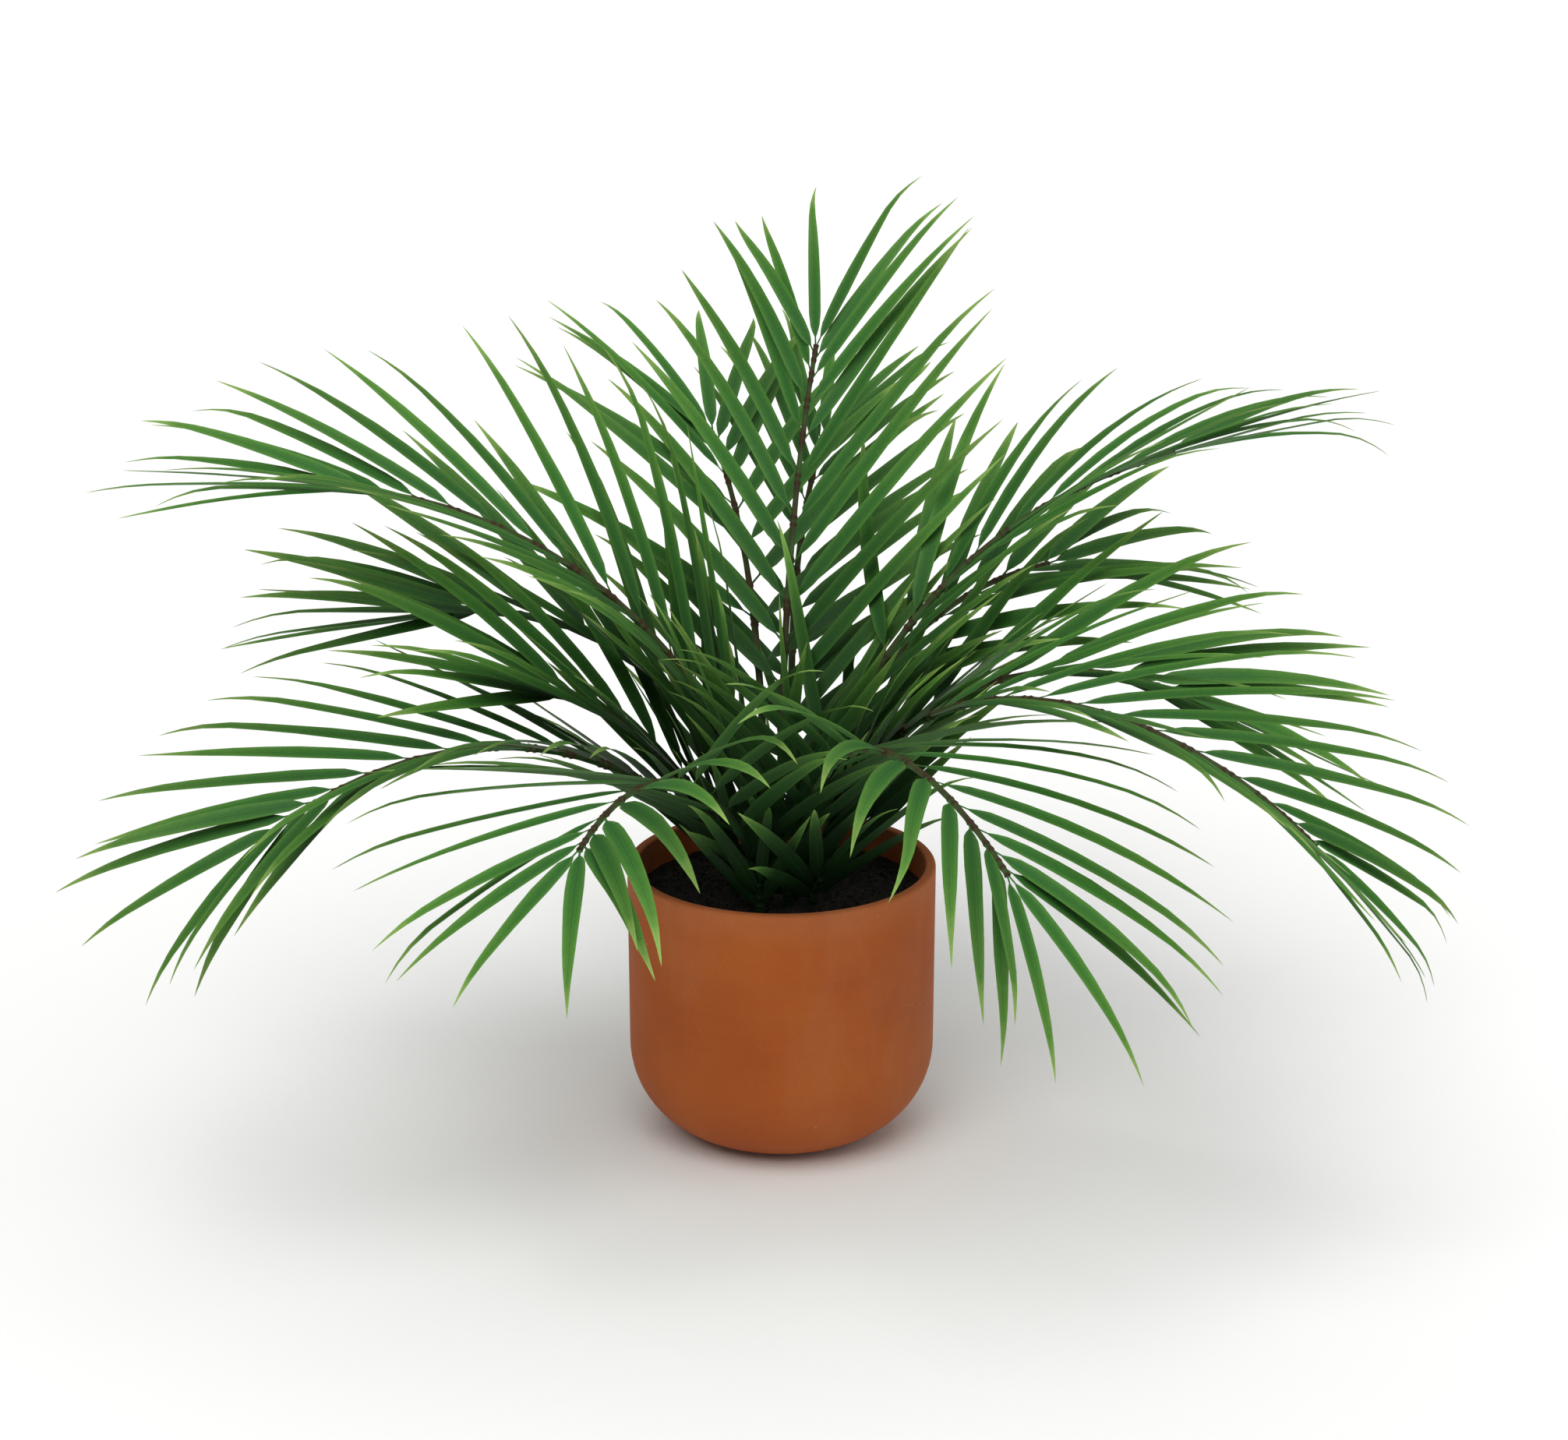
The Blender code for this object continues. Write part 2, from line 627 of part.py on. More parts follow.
def build_stem(frond: Frond, spine: Spine, home: bpy.types.Collection) -> bpy.types.Object:
    """A tapering stem on a curve, made a mesh so that the leaflets can be joined to it."""
    shape = bpy.data.curves.new(f"{frond.name}_line", "CURVE")
    shape.dimensions = "3D"
    shape.bevel_depth = STEM_RADIUS
    shape.bevel_resolution = 1
    shape.use_fill_caps = True
    foot = spine.points[0]
    root = (foot[0], foot[1], foot[2] - ROOT_RISE - ROOT_DEPTH)
    stations = [round(step * STEM_STATIONS / STEM_SPANS) for step in range(STEM_SPANS + 1)]
    line = shape.splines.new("POLY")
    line.points.add(len(stations))
    line.points[0].co = (*root, 1.0)
    for point, station in zip(line.points[1:], stations):
        point.co = (*spine.points[station], 1.0)
        point.radius = stem_radius(station / STEM_STATIONS) / STEM_RADIUS
    curve_object = bpy.data.objects.new(f"{frond.name}_line", shape)
    home.objects.link(curve_object)
    evaluated = curve_object.evaluated_get(bpy.context.evaluated_depsgraph_get())
    mesh = bpy.data.meshes.new_from_object(evaluated)
    mesh.name = frond.name
    weld = bmesh.new()
    weld.from_mesh(mesh)
    bmesh.ops.remove_doubles(weld, verts=weld.verts, dist=0.00001)
    bmesh.ops.recalc_face_normals(weld, faces=weld.faces)
    weld.to_mesh(mesh)
    weld.free()
    stem = add_object(frond.name, mesh, home)
    stem.matrix_world = curve_object.matrix_world
    bpy.data.objects.remove(curve_object, do_unlink=True)
    return stem


def build_row(name: str, blades: list[Blade], tools: bpy.types.Collection) -> bpy.types.Object:
    """One side's leaflets: a narrow grid for each, laid along its middle line and given thickness."""
    shape = bmesh.new()
    for blade in blades:
        made = bmesh.ops.create_grid(shape, x_segments=1, y_segments=len(SOLID_SHARES) - 1, size=1.0)
        verts = sorted(made["verts"], key=lambda vert: (vert.co.y, vert.co.x))
        for index, middle in enumerate(blade.points):
            reach = blade.across[index] * blade.half_width[index]
            verts[2 * index].co = middle + reach
            verts[2 * index + 1].co = middle - reach
        for vert in verts[-2:]:
            vert.co = blade.points[-1]
        bmesh.ops.remove_doubles(shape, verts=verts[-2:], dist=0.00001)
    mesh = bpy.data.meshes.new(name)
    shape.to_mesh(mesh)
    shape.free()
    row = hide_tool(add_object(name, mesh, tools))
    solid = row.modifiers.new("thickness", "SOLIDIFY")
    solid.thickness = LEAFLET_THICKNESS
    solid.offset = 0.0
    return row


def build_frond(
    frond: Frond,
    spine: Spine,
    leaves: list[Leaflet],
    finish: bpy.types.Material,
    home: bpy.types.Collection,
    tools: bpy.types.Collection,
) -> bpy.types.Object:
    """Join a stem and its two rows of leaflets into one solid."""
    stem = build_stem(frond, spine, home)
    for side, word in ((-1, "left"), (1, "right")):
        blades = [blade_of(frond, spine, leaf, SOLID_SHARES) for leaf in leaves if leaf.side == side]
        row = build_row(f"{frond.name}_{word}_row", blades, tools)
        join = stem.modifiers.new(f"{word}_row", "BOOLEAN")
        join.operation = "UNION"
        join.solver = "EXACT"
        join.use_self = True
        join.object = row
    stem.data.materials.append(finish)
    return stem


def main() -> None:
    """Build the pot, the soil and every frond."""
    clear_scene()
    home = new_collection("potted_areca_palm")
    tools = new_collection("helpers")
    build_pot(home)
    build_soil(home, tools)
    spines, leaves = grow()
    for frond in FRONDS:
        finish = material(f"{frond.name}_leaf", LEAF_GREEN, 0.5)
        build_frond(frond, spines[frond.name], leaves[frond.name], finish, home, tools)


main()
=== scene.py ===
"""Looks of the potted areca palm: clay pot, potting soil and feathery fronds, with a plain studio round them.

Every length is in metres and every angle in degrees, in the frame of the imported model: the origin is the
middle of the pot's underside, +Z is up and -Y is the front.
"""

from __future__ import annotations

import logging
import math
from dataclasses import dataclass, replace
from enum import Enum

import bmesh
import bpy
import numpy as np
from mathutils import Euler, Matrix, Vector
from mathutils.bvhtree import BVHTree


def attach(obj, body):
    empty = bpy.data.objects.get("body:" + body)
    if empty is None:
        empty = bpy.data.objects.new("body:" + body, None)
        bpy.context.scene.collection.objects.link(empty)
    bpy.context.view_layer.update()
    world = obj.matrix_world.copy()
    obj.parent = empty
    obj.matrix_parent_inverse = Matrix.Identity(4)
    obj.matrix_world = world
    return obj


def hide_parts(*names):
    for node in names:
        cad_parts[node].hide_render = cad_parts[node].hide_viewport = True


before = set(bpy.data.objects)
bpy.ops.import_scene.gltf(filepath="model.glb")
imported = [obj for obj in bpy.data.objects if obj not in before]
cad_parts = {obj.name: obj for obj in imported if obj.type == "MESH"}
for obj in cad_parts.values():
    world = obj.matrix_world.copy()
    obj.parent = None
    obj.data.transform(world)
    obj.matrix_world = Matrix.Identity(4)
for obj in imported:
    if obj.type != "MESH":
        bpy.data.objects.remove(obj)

LOG = logging.getLogger("potted_areca_palm")
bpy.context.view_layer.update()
MM = 0.001
# The middle of the clump of stems, which stands in its own shade; round it leaf and stem colours are darkened
# as painted shade.
CLUMP_HEART = (0.0, -0.01, 0.125)
# The youngest fronds, upright in the middle, have the narrowest leaflets, and the oldest the widest.
SLIMNESS = {
    "frond_crown": 0.74, "frond_back_left": 0.84, "frond_back_right": 0.84, "frond_right_high": 0.85,
    "frond_left_high": 0.90, "frond_front_right": 0.90, "frond_right_low": 0.93}
# How pale a frond's leaflets are: each takes a tone between the two, and a frond that hangs low is darkened
# further as painted shade.
LEAF_TONES = (0.80, 1.16)
PAINTED_SHADE_TONE = {"frond_left_low": 0.84}
# Nearly all that a noise pattern gives lies between these.
NOISE_SPREAD = (0.3, 0.7)


# ---------------------------------------------------------------- colour and material nodes


class Hue(Enum):
    """Colours of the plant and its pot, as sRGB hex values."""

    LEAF_DEEP = "#2A5C26"
    LEAF_GREEN = "#336724"
    LEAF_YOUNG = "#4C7A2E"
    LEAF_TIP = "#8FAC58"
    LEAF_MARGIN = "#74A046"
    LEAF_VEIN = "#1D4520"
    # Painted shade, mixed into leaf and stem near the clump's middle.
    LEAF_HEART = "#0C2709"
    STEM_GREEN = "#34602B"
    STEM_OLIVE = "#3A4224"
    STEM_BROWN = "#3A2A1B"
    CLAY = "#A8521C"
    CLAY_LIGHT = "#AD5820"
    CLAY_DARK = "#A14C19"
    CLAY_BLOOM = "#B98A68"
    CLAY_NICK = "#C69A7C"
    SOIL_BLACK = "#100F0D"
    SOIL_BROWN = "#1F1C18"
    SOIL_DRY = "#383129"
    SOIL_SPECK = "#6C6862"
    FLOOR = "#F8F8F7"


def linear(hue: Hue) -> tuple[float, float, float, float]:
    """Turn an sRGB hex colour into linear red, green, blue and alpha.

    Args:
        hue: The colour.

    Returns:
        The linear colour with an alpha of one.
    """
    channels = [int(hue.value[index:index + 2], 16) / 255 for index in (1, 3, 5)]
    lit = [c / 12.92 if c <= 0.04045 else ((c + 0.055) / 1.055) ** 2.4 for c in channels]
    return lit[0], lit[1], lit[2], 1.0


def add_node(
    tree: bpy.types.NodeTree,
    kind: str,
    settings: dict[str, object] | None = None,
    links: dict[str | int, object] | None = None,
    stops: tuple[tuple[float, Hue], ...] = (),
) -> bpy.types.Node:
    """Add a node, set it up and link it.

    Args:
        tree: The material's node tree.
        kind: The node's type name without its ShaderNode start.
        settings: Properties of the node by name.
        links: Inputs by name or number, each an output socket to link or a value to set.
        stops: The places and colours of a colour ramp, from zero up.

    Returns:
        The new node.
    """
    node = tree.nodes.new(f"ShaderNode{kind}")
    for name, value in (settings or {}).items():
        setattr(node, name, value)
    for key, value in (links or {}).items():
        if isinstance(value, bpy.types.NodeSocket):
            tree.links.new(value, node.inputs[key])
        else:
            node.inputs[key].default_value = value
    for number, (place, hue) in enumerate(stops):
        ramp = node.color_ramp.elements
        element = ramp[number] if number < len(ramp) else ramp.new(place)
        element.position = place
        element.color = linear(hue)
    return node


def start_material(name: str) -> tuple[bpy.types.Material, bpy.types.NodeTree, bpy.types.Node]:
    """Make a material with a Principled shader.

    Args:
        name: The material's name.

    Returns:
        The material, its node tree and its shader.
    """
    made = bpy.data.materials.new(name)
    made.use_nodes = True
    return made, made.node_tree, made.node_tree.nodes["Principled BSDF"]


def lay_skin(
    shader: bpy.types.Node,
    colour: bpy.types.NodeSocket,
    height: bpy.types.NodeSocket,
    relief: tuple[float, float],
    gloss: tuple[float, float],
) -> None:
    """Give a shader its colour, relief and gloss.

    Args:
        shader: The shader.
        colour: The colour over the surface.
        height: What stands proud of it.
        relief: The relief's strength and its depth in millimetres.
        gloss: The roughness and the specular level.
    """
    strength, depth_mm = relief
    tree = shader.id_data
    bump = add_node(tree, "Bump", links={"Height": height, "Strength": strength, "Distance": depth_mm * MM})
    tree.links.new(colour, shader.inputs["Base Color"])
    tree.links.new(bump.outputs["Normal"], shader.inputs["Normal"])
    shader.inputs["Roughness"].default_value, shader.inputs["Specular IOR Level"].default_value = gloss


def tinted(
    tree: bpy.types.NodeTree,
    colour: bpy.types.NodeSocket,
    layers: tuple[tuple[bpy.types.NodeSocket, tuple[float, float], tuple[float, float]], ...],
) -> bpy.types.NodeSocket:
    """Darken and lighten a colour by patterns laid over it one after the other.

    Args:
        tree: The material's node tree.
        colour: The colour.
        layers: Each pattern, the range it is read over and the tones at that range's two ends.

    Returns:
        The tinted colour.
    """
    for pattern, (low, high), (dark, light) in layers:
        tone = add_node(tree, "MapRange", links={
            "Value": pattern, "From Min": low, "From Max": high, "To Min": dark, "To Max": light})
        layer = add_node(tree, "MixRGB", {"blend_type": "MULTIPLY"}, {
            "Fac": 1.0, "Color1": colour, "Color2": tone.outputs[0]})
        colour = layer.outputs[0]
    return colour


@dataclass(frozen=True)
class PalmLeaf:
    """Palm leaf blade: waxy skin over long parallel veins, so satin, finely ribbed and paler at the tip."""

    ribs: int = 8
    rib_tones: tuple[float, float] = (0.95, 1.02)
    relief: tuple[float, float] = (0.2, 0.12)
    patch_mm: float = 33.0
    patch_drift: float = 0.24
    shade_reach: tuple[float, float] = (0.06, 0.21)
    shade_share: float = 0.98
    tip_start: float = 0.6
    tip_share: float = 0.7
    margin_start: float = 0.20
    margin_share: float = 0.26
    fold_reach: float = 0.04
    fold_share: float = 0.55
    cloud_mm: float = 1.6
    cloud_tones: tuple[float, float] = (0.90, 1.10)
    gloss: tuple[float, float] = (0.58, 0.19)

    def dress(self) -> bpy.types.Material:
        """Build the leaf material.

        Returns:
            The material. It reads the blade's own map, across its width and along its length.
        """
        made, tree, shader = start_material("palm_leaf_blade")
        place = add_node(tree, "UVMap", {"uv_map": "blade"})
        split = add_node(tree, "SeparateXYZ", links={0: place.outputs["UV"]})
        across, along = split.outputs["X"], split.outputs["Y"]
        # The blade grew from its foot, so the old green there is deep and the young tip is yellow.
        own = add_node(tree, "TexCoord").outputs["Object"]
        patches = add_node(tree, "TexNoise", links={
            "Vector": own, "Scale": 1 / (self.patch_mm * MM), "Detail": 3.0, "Roughness": 0.6})
        drift = add_node(tree, "Math", {"operation": "MULTIPLY_ADD"}, {
            0: patches.outputs["Fac"], 1: self.patch_drift, 2: -self.patch_drift / 2})
        age = add_node(tree, "Math", {"operation": "ADD"}, {0: along, 1: drift.outputs[0]})
        grown = add_node(tree, "ValToRGB", links={"Fac": age.outputs[0]}, stops=(
            (0.00, Hue.LEAF_DEEP), (0.44, Hue.LEAF_GREEN), (0.80, Hue.LEAF_YOUNG), (1.00, Hue.LEAF_TIP)))
        # Painted shade: leaf near the clump's middle is darkened to a deep green; its tips reach out of it
        # and stay pale.
        reach = add_node(tree, "VectorMath", {"operation": "DISTANCE"}, {0: own, 1: CLUMP_HEART})
        near, far = self.shade_reach
        inside = add_node(tree, "MapRange", links={
            "Value": reach.outputs["Value"], "From Min": near, "From Max": far,
            "To Min": self.shade_share, "To Max": 0.0})
        tip = add_node(tree, "MapRange", links={
            "Value": along, "From Min": self.tip_start, "From Max": 1.0,
            "To Min": 0.0, "To Max": self.tip_share})
        painted_heart_shade = add_node(tree, "Math", {"operation": "SUBTRACT", "use_clamp": True}, {
            0: inside.outputs[0], 1: tip.outputs[0]})
        shaded = add_node(tree, "MixRGB", links={
            "Fac": painted_heart_shade.outputs[0], "Color1": grown.outputs["Color"], "Color2": linear(Hue.LEAF_HEART)})
        # Outside the painted shade the blade pales towards its margins; a dark line runs along the fold.
        aside = add_node(tree, "Math", {"operation": "SUBTRACT"}, {0: across, 1: 0.5})
        edge = add_node(tree, "Math", {"operation": "ABSOLUTE"}, {0: aside.outputs[0]})
        rim = add_node(tree, "MapRange", links={
            "Value": edge.outputs[0], "From Min": self.margin_start, "From Max": 0.5,
            "To Min": 0.0, "To Max": self.margin_share})
        outer = add_node(tree, "Math", {"operation": "SUBTRACT", "use_clamp": True}, {
            0: 1.0, 1: painted_heart_shade.outputs[0]})
        margin = add_node(tree, "Math", {"operation": "MULTIPLY"}, {0: rim.outputs[0], 1: outer.outputs[0]})
        rimmed = add_node(tree, "MixRGB", links={
            "Fac": margin.outputs[0], "Color1": shaded.outputs[0], "Color2": linear(Hue.LEAF_MARGIN)})
        fold = add_node(tree, "MapRange", links={
            "Value": edge.outputs[0], "From Min": 0.0, "From Max": self.fold_reach,
            "To Min": self.fold_share, "To Max": 0.0})
        folded = add_node(tree, "MixRGB", links={
            "Fac": fold.outputs[0], "Color1": rimmed.outputs[0], "Color2": linear(Hue.LEAF_VEIN)})
        # Parallel veins, faint dark lines that also stand a little proud, and small clouds between them. Real
        # veins stand under half a millimetre apart, too fine to show, so these stand over a millimetre apart.
        phase = add_node(tree, "Math", {"operation": "MULTIPLY"}, {0: across, 1: 2 * math.pi * self.ribs})
        veins = add_node(tree, "Math", {"operation": "SINE"}, {0: phase.outputs[0]}).outputs[0]
        cloud = add_node(tree, "TexNoise", links={
            "Vector": own, "Scale": 1 / (self.cloud_mm * MM), "Detail": 3.0, "Roughness": 0.7})
        clouded = tinted(tree, folded.outputs[0], (
            (veins, (-1.0, 1.0), self.rib_tones), (cloud.outputs["Fac"], NOISE_SPREAD, self.cloud_tones)))
        # Each leaflet is a tone of its own, and those of the low-hanging frond are darker as painted shade.
        tone = add_node(tree, "Attribute", {"attribute_name": "leaf_tone_and_shade"})
        final = add_node(tree, "MixRGB", {"blend_type": "MULTIPLY"}, {
            "Fac": 1.0, "Color1": clouded, "Color2": tone.outputs["Fac"]})
        lay_skin(shader, final.outputs[0], veins, self.relief, self.gloss)
        return made


@dataclass(frozen=True)
class PalmStem:
    """Palm stem: smooth green rind that turns to brown cork at each leaflet's joint, and darkened by the soil
    as painted shade.
    """

    patch_mm: float = 14.0
    patch_share: float = 0.9
    shade_reach: tuple[float, float] = (0.05, 0.15)
    grain_mm: float = 1.1
    relief: tuple[float, float] = (0.3, 0.1)
    gloss: tuple[float, float] = (0.7, 0.15)

    def dress(self) -> bpy.types.Material:
        """Build the stem material.

        Returns:
            The material. It reads the stem's own browning and its place along the stem.
        """
        made, tree, shader = start_material("palm_stem_rind")
        own = add_node(tree, "TexCoord").outputs["Object"]
        browning = add_node(tree, "Attribute", {"attribute_name": "browning"})
        patches = add_node(tree, "TexNoise", links={
            "Vector": own, "Scale": 1 / (self.patch_mm * MM), "Detail": 3.0, "Roughness": 0.6})
        summed = add_node(tree, "Math", {"operation": "MULTIPLY_ADD"}, {
            0: patches.outputs["Fac"], 1: self.patch_share, 2: browning.outputs["Fac"]})
        colour = add_node(tree, "ValToRGB", links={"Fac": summed.outputs[0]}, stops=(
            (0.35, Hue.STEM_GREEN), (0.60, Hue.STEM_OLIVE), (0.85, Hue.STEM_BROWN)))
        # Painted shade: near the clump's middle the rind is darkened to a deep green.
        reach = add_node(tree, "VectorMath", {"operation": "DISTANCE"}, {0: own, 1: CLUMP_HEART})
        near, far = self.shade_reach
        inside = add_node(tree, "MapRange", links={
            "Value": reach.outputs["Value"], "From Min": near, "From Max": far, "To Min": 1.0, "To Max": 0.0})
        shaded = add_node(tree, "MixRGB", links={
            "Fac": inside.outputs[0], "Color1": colour.outputs["Color"], "Color2": linear(Hue.LEAF_HEART)})
        grain = add_node(tree, "TexNoise", links={
            "Vector": own, "Scale": 1 / (self.grain_mm * MM), "Detail": 2.0})
        lay_skin(shader, shaded.outputs[0], grain.outputs["Fac"], self.relief, self.gloss)
        return made


@dataclass(frozen=True)
class Terracotta:
    """Unglazed fired clay, turned and wiped smooth: matte, sandy and faintly mottled, with a dusty sheen."""

    mottle_mm: float = 60.0
    sand_mm: float = 0.9
    sand_tones: tuple[float, float] = (0.91, 1.08)
    ring_mm: float = 1000 / 170
    ring_length_mm: float = 1000 / 3
    ring_tones: tuple[float, float] = (0.975, 1.02)
    streak_mm: float = 50.0
    streak_stretch: float = 0.3
    streak_band: tuple[float, float] = (0.52, 0.82)
    streak_share: float = 0.22
    lip_band: tuple[float, float] = (0.122, 0.1375)
    lip_share: float = 0.14
    nick_mm: float = 17.0
    nick_reach: tuple[float, float] = (0.015, 0.05)
    nick_share: float = 0.55
    relief: tuple[float, float] = (0.3, 0.12)
    gloss: tuple[float, float] = (0.78, 0.25)
    dust: float = 0.16
    dust_roughness: float = 0.6

    def dress(self) -> bpy.types.Material:
        """Build the clay material.

        Returns:
            The material, in the pot's own coordinates.
        """
        made, tree, shader = start_material("terracotta_clay")
        own = add_node(tree, "TexCoord").outputs["Object"]
        # Broad, weak patches from the kiln.
        mottle = add_node(tree, "TexNoise", links={
            "Vector": own, "Scale": 1 / (self.mottle_mm * MM), "Detail": 4.0, "Roughness": 0.5})
        fired = add_node(tree, "ValToRGB", links={"Fac": mottle.outputs["Fac"]}, stops=(
            (0.32, Hue.CLAY_DARK), (0.50, Hue.CLAY), (0.70, Hue.CLAY_LIGHT)))
        # Sand in the clay, fine light and dark grains, and faint rings where the pot was turned and wiped.
        # Real grains are a third of a millimetre wide, too fine to show, so these are nearly a whole one.
        sand = add_node(tree, "TexNoise", links={
            "Vector": own, "Scale": 1 / (self.sand_mm * MM), "Detail": 3.0, "Roughness": 0.75}).outputs["Fac"]
        round_pot = 1 / (self.ring_length_mm * MM)
        flat = add_node(tree, "Mapping", links={
            "Vector": own, "Scale": (round_pot, round_pot, 1 / (self.ring_mm * MM))})
        rings = add_node(tree, "TexNoise", links={"Vector": flat.outputs[0], "Scale": 1.0, "Detail": 2.0})
        turned_clay = tinted(tree, fired.outputs["Color"], (
            (sand, NOISE_SPREAD, self.sand_tones), (rings.outputs["Fac"], NOISE_SPREAD, self.ring_tones)))
        # A dry lime bloom under the lip and in soft upright streaks.
        upright = add_node(tree, "Mapping", links={"Vector": own, "Scale": (1.0, 1.0, self.streak_stretch)})
        streaks = add_node(tree, "TexNoise", links={
            "Vector": upright.outputs[0], "Scale": 1 / (self.streak_mm * MM),
            "Detail": 4.0, "Roughness": 0.6})
        low, high = self.streak_band
        streaked = add_node(tree, "MapRange", links={
            "Value": streaks.outputs["Fac"], "From Min": low, "From Max": high,
            "To Min": 0.0, "To Max": self.streak_share})
        height = add_node(tree, "SeparateXYZ", links={0: own})
        low, high = self.lip_band
        dried = add_node(tree, "MapRange", links={
            "Value": height.outputs["Z"], "From Min": low, "From Max": high,
            "To Min": 0.0, "To Max": self.lip_share})
        bloom = add_node(tree, "Math", {"operation": "ADD"}, {0: streaked.outputs[0], 1: dried.outputs[0]})
        bloomed = add_node(tree, "MixRGB", links={
            "Fac": bloom.outputs[0], "Color1": turned_clay, "Color2": linear(Hue.CLAY_BLOOM)})
        # Here and there a small pale nick.
        nicks = add_node(tree, "TexVoronoi", links={"Vector": own, "Scale": 1 / (self.nick_mm * MM)})
        low, high = self.nick_reach
        nick = add_node(tree, "MapRange", links={
            "Value": nicks.outputs["Distance"], "From Min": low, "From Max": high,
            "To Min": self.nick_share, "To Max": 0.0})
        nicked = add_node(tree, "MixRGB", links={
            "Fac": nick.outputs[0], "Color1": bloomed.outputs[0], "Color2": linear(Hue.CLAY_NICK)})
        lay_skin(shader, nicked.outputs[0], sand, self.relief, self.gloss)
        shader.inputs["Sheen Weight"].default_value = self.dust
        shader.inputs["Sheen Roughness"].default_value = self.dust_roughness
        shader.inputs["Sheen Tint"].default_value = linear(Hue.CLAY_BLOOM)
        return made


@dataclass(frozen=True)
class PottingMix:
    """Peat and bark potting mix, damp: nearly black crumbs with a few pale specks of grit."""

    crumb_mm: float = 1.6
    clod_mm: float = 9.0
    clod_drift: float = 0.5
    grit_mm: float = 3.6
    grit_reach: float = 0.06
    relief: tuple[float, float] = (0.7, 0.8)
    gloss: tuple[float, float] = (0.95, 0.2)

    def dress(self) -> bpy.types.Material:
        """Build the soil material.

        Returns:
            The material, in the soil's own coordinates.
        """
        made, tree, shader = start_material("potting_mix")
        own = add_node(tree, "TexCoord").outputs["Object"]
        grains = add_node(tree, "TexNoise", links={
            "Vector": own, "Scale": 1 / (self.crumb_mm * MM), "Detail": 4.0, "Roughness": 0.65})
        crumbs = grains.outputs["Fac"]
        clods = add_node(tree, "TexNoise", links={
            "Vector": own, "Scale": 1 / (self.clod_mm * MM), "Detail": 2.0})
        damp = add_node(tree, "Math", {"operation": "MULTIPLY_ADD"}, {
            0: clods.outputs["Fac"], 1: self.clod_drift, 2: -self.clod_drift / 2})
        tone = add_node(tree, "Math", {"operation": "ADD"}, {0: crumbs, 1: damp.outputs[0]})
        peat = add_node(tree, "ValToRGB", links={"Fac": tone.outputs[0]}, stops=(
            (0.38, Hue.SOIL_BLACK), (0.62, Hue.SOIL_BROWN), (0.80, Hue.SOIL_DRY)))
        specks = add_node(tree, "TexVoronoi", links={"Vector": own, "Scale": 1 / (self.grit_mm * MM)})
        grit = add_node(tree, "Math", {"operation": "LESS_THAN"}, {
            0: specks.outputs["Distance"], 1: self.grit_reach})
        gritty = add_node(tree, "MixRGB", links={
            "Fac": grit.outputs[0], "Color1": peat.outputs["Color"], "Color2": linear(Hue.SOIL_SPECK)})
        lay_skin(shader, gritty.outputs[0], crumbs, self.relief, self.gloss)
        return made


# ---------------------------------------------------------------- meshes


def deselect() -> None:
    """Leave nothing selected and no active object."""
    for item in bpy.context.selected_objects:
        item.select_set(False)
    bpy.context.view_layer.objects.active = None


def mesh_object(name: str, points: np.ndarray, faces: list[tuple[int, ...]]) -> bpy.types.Object:
    """Make an object at the origin from points and faces.

    Args:
        name: The piece's name.
        points: The vertices, one row each.
        faces: The faces as vertex numbers, facing outwards.

    Returns:
        The object, linked to the scene.
    """
    mesh = bpy.data.meshes.new(name)
    mesh.from_pydata([tuple(point) for point in points], [], faces)
    mesh.validate()
    item = bpy.data.objects.new(name, mesh)
    bpy.context.scene.collection.objects.link(item)
    return item


def smooth(item: bpy.types.Object, angle: float) -> None:
    """Shade an object smooth, keeping edges sharper than an angle.

    Args:
        item: The object.
        angle: The angle between faces above which an edge stays sharp.
    """
    deselect()
    item.select_set(True)
    bpy.context.view_layer.objects.active = item
    bpy.ops.object.shade_smooth_by_angle(angle=math.radians(angle))
    deselect()


def fit_out(item: bpy.types.Object, finish: bpy.types.Material, nodes: list[str]) -> None:
    """Give a piece its material, its body and the nodes it stands for.

    Args:
        item: The piece.
        finish: Its material.
        nodes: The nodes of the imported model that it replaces.
    """
    item.data.materials.clear()
    item.data.materials.append(finish)
    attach(item, "root")
    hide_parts(*nodes)
    LOG.info("%s: %d faces", item.name, len(item.data.polygons))


# ---------------------------------------------------------------- growth of the fronds

# Pairs of leaflets along a stem: the space between them, the share of the stem where the last pair stands and
# the share from which they are full-grown, and how much closer the last few stand.
PITCH = 0.0212
LAST_NODE = 0.985
FULL_SHARE = 0.36
TIP_GAP = 0.5
CROWDED_PAIRS = 3
# How much the lowest leaflet of a stem sags, as a share of what a full-grown one does.
FOOT_BEND = 0.4
# Pot and soil.
POT_DIAMETER = 0.150
POT_HEIGHT = 0.138
POT_WALL = 0.005
RIM_TO_SOIL = 0.0155
SOIL_DOME = 0.0015
# Stems: thickest at the foot, drawn through even stations and rooted in the soil.
STEM_RADIUS = 0.0019
STEM_TIP_SHARE = 0.42
STEM_STATIONS = 40
ROOT_RISE = 0.001
ROOT_DEPTH = 0.012
# Leaflets: the widest one, and the shares of the length at which plain and fine blades have their stations.
LEAFLET_WIDTH = 0.0110
LEAFLET_THICKNESS = 0.0006
BLADE_SPANS = 16
STALK_SHARE = 0.14
SOLID_SHARES = (0.0, STALK_SHARE, 0.50, 1.0)
FINE_SHARES = (0.0, STALK_SHARE, 0.30, 0.45, 0.60, 0.75, 0.88, 1.0)
STALK_OFFSET = 0.0004
# How far a right-hand leaflet stands below its partner, as a share of the pitch.
STAGGER = 0.18
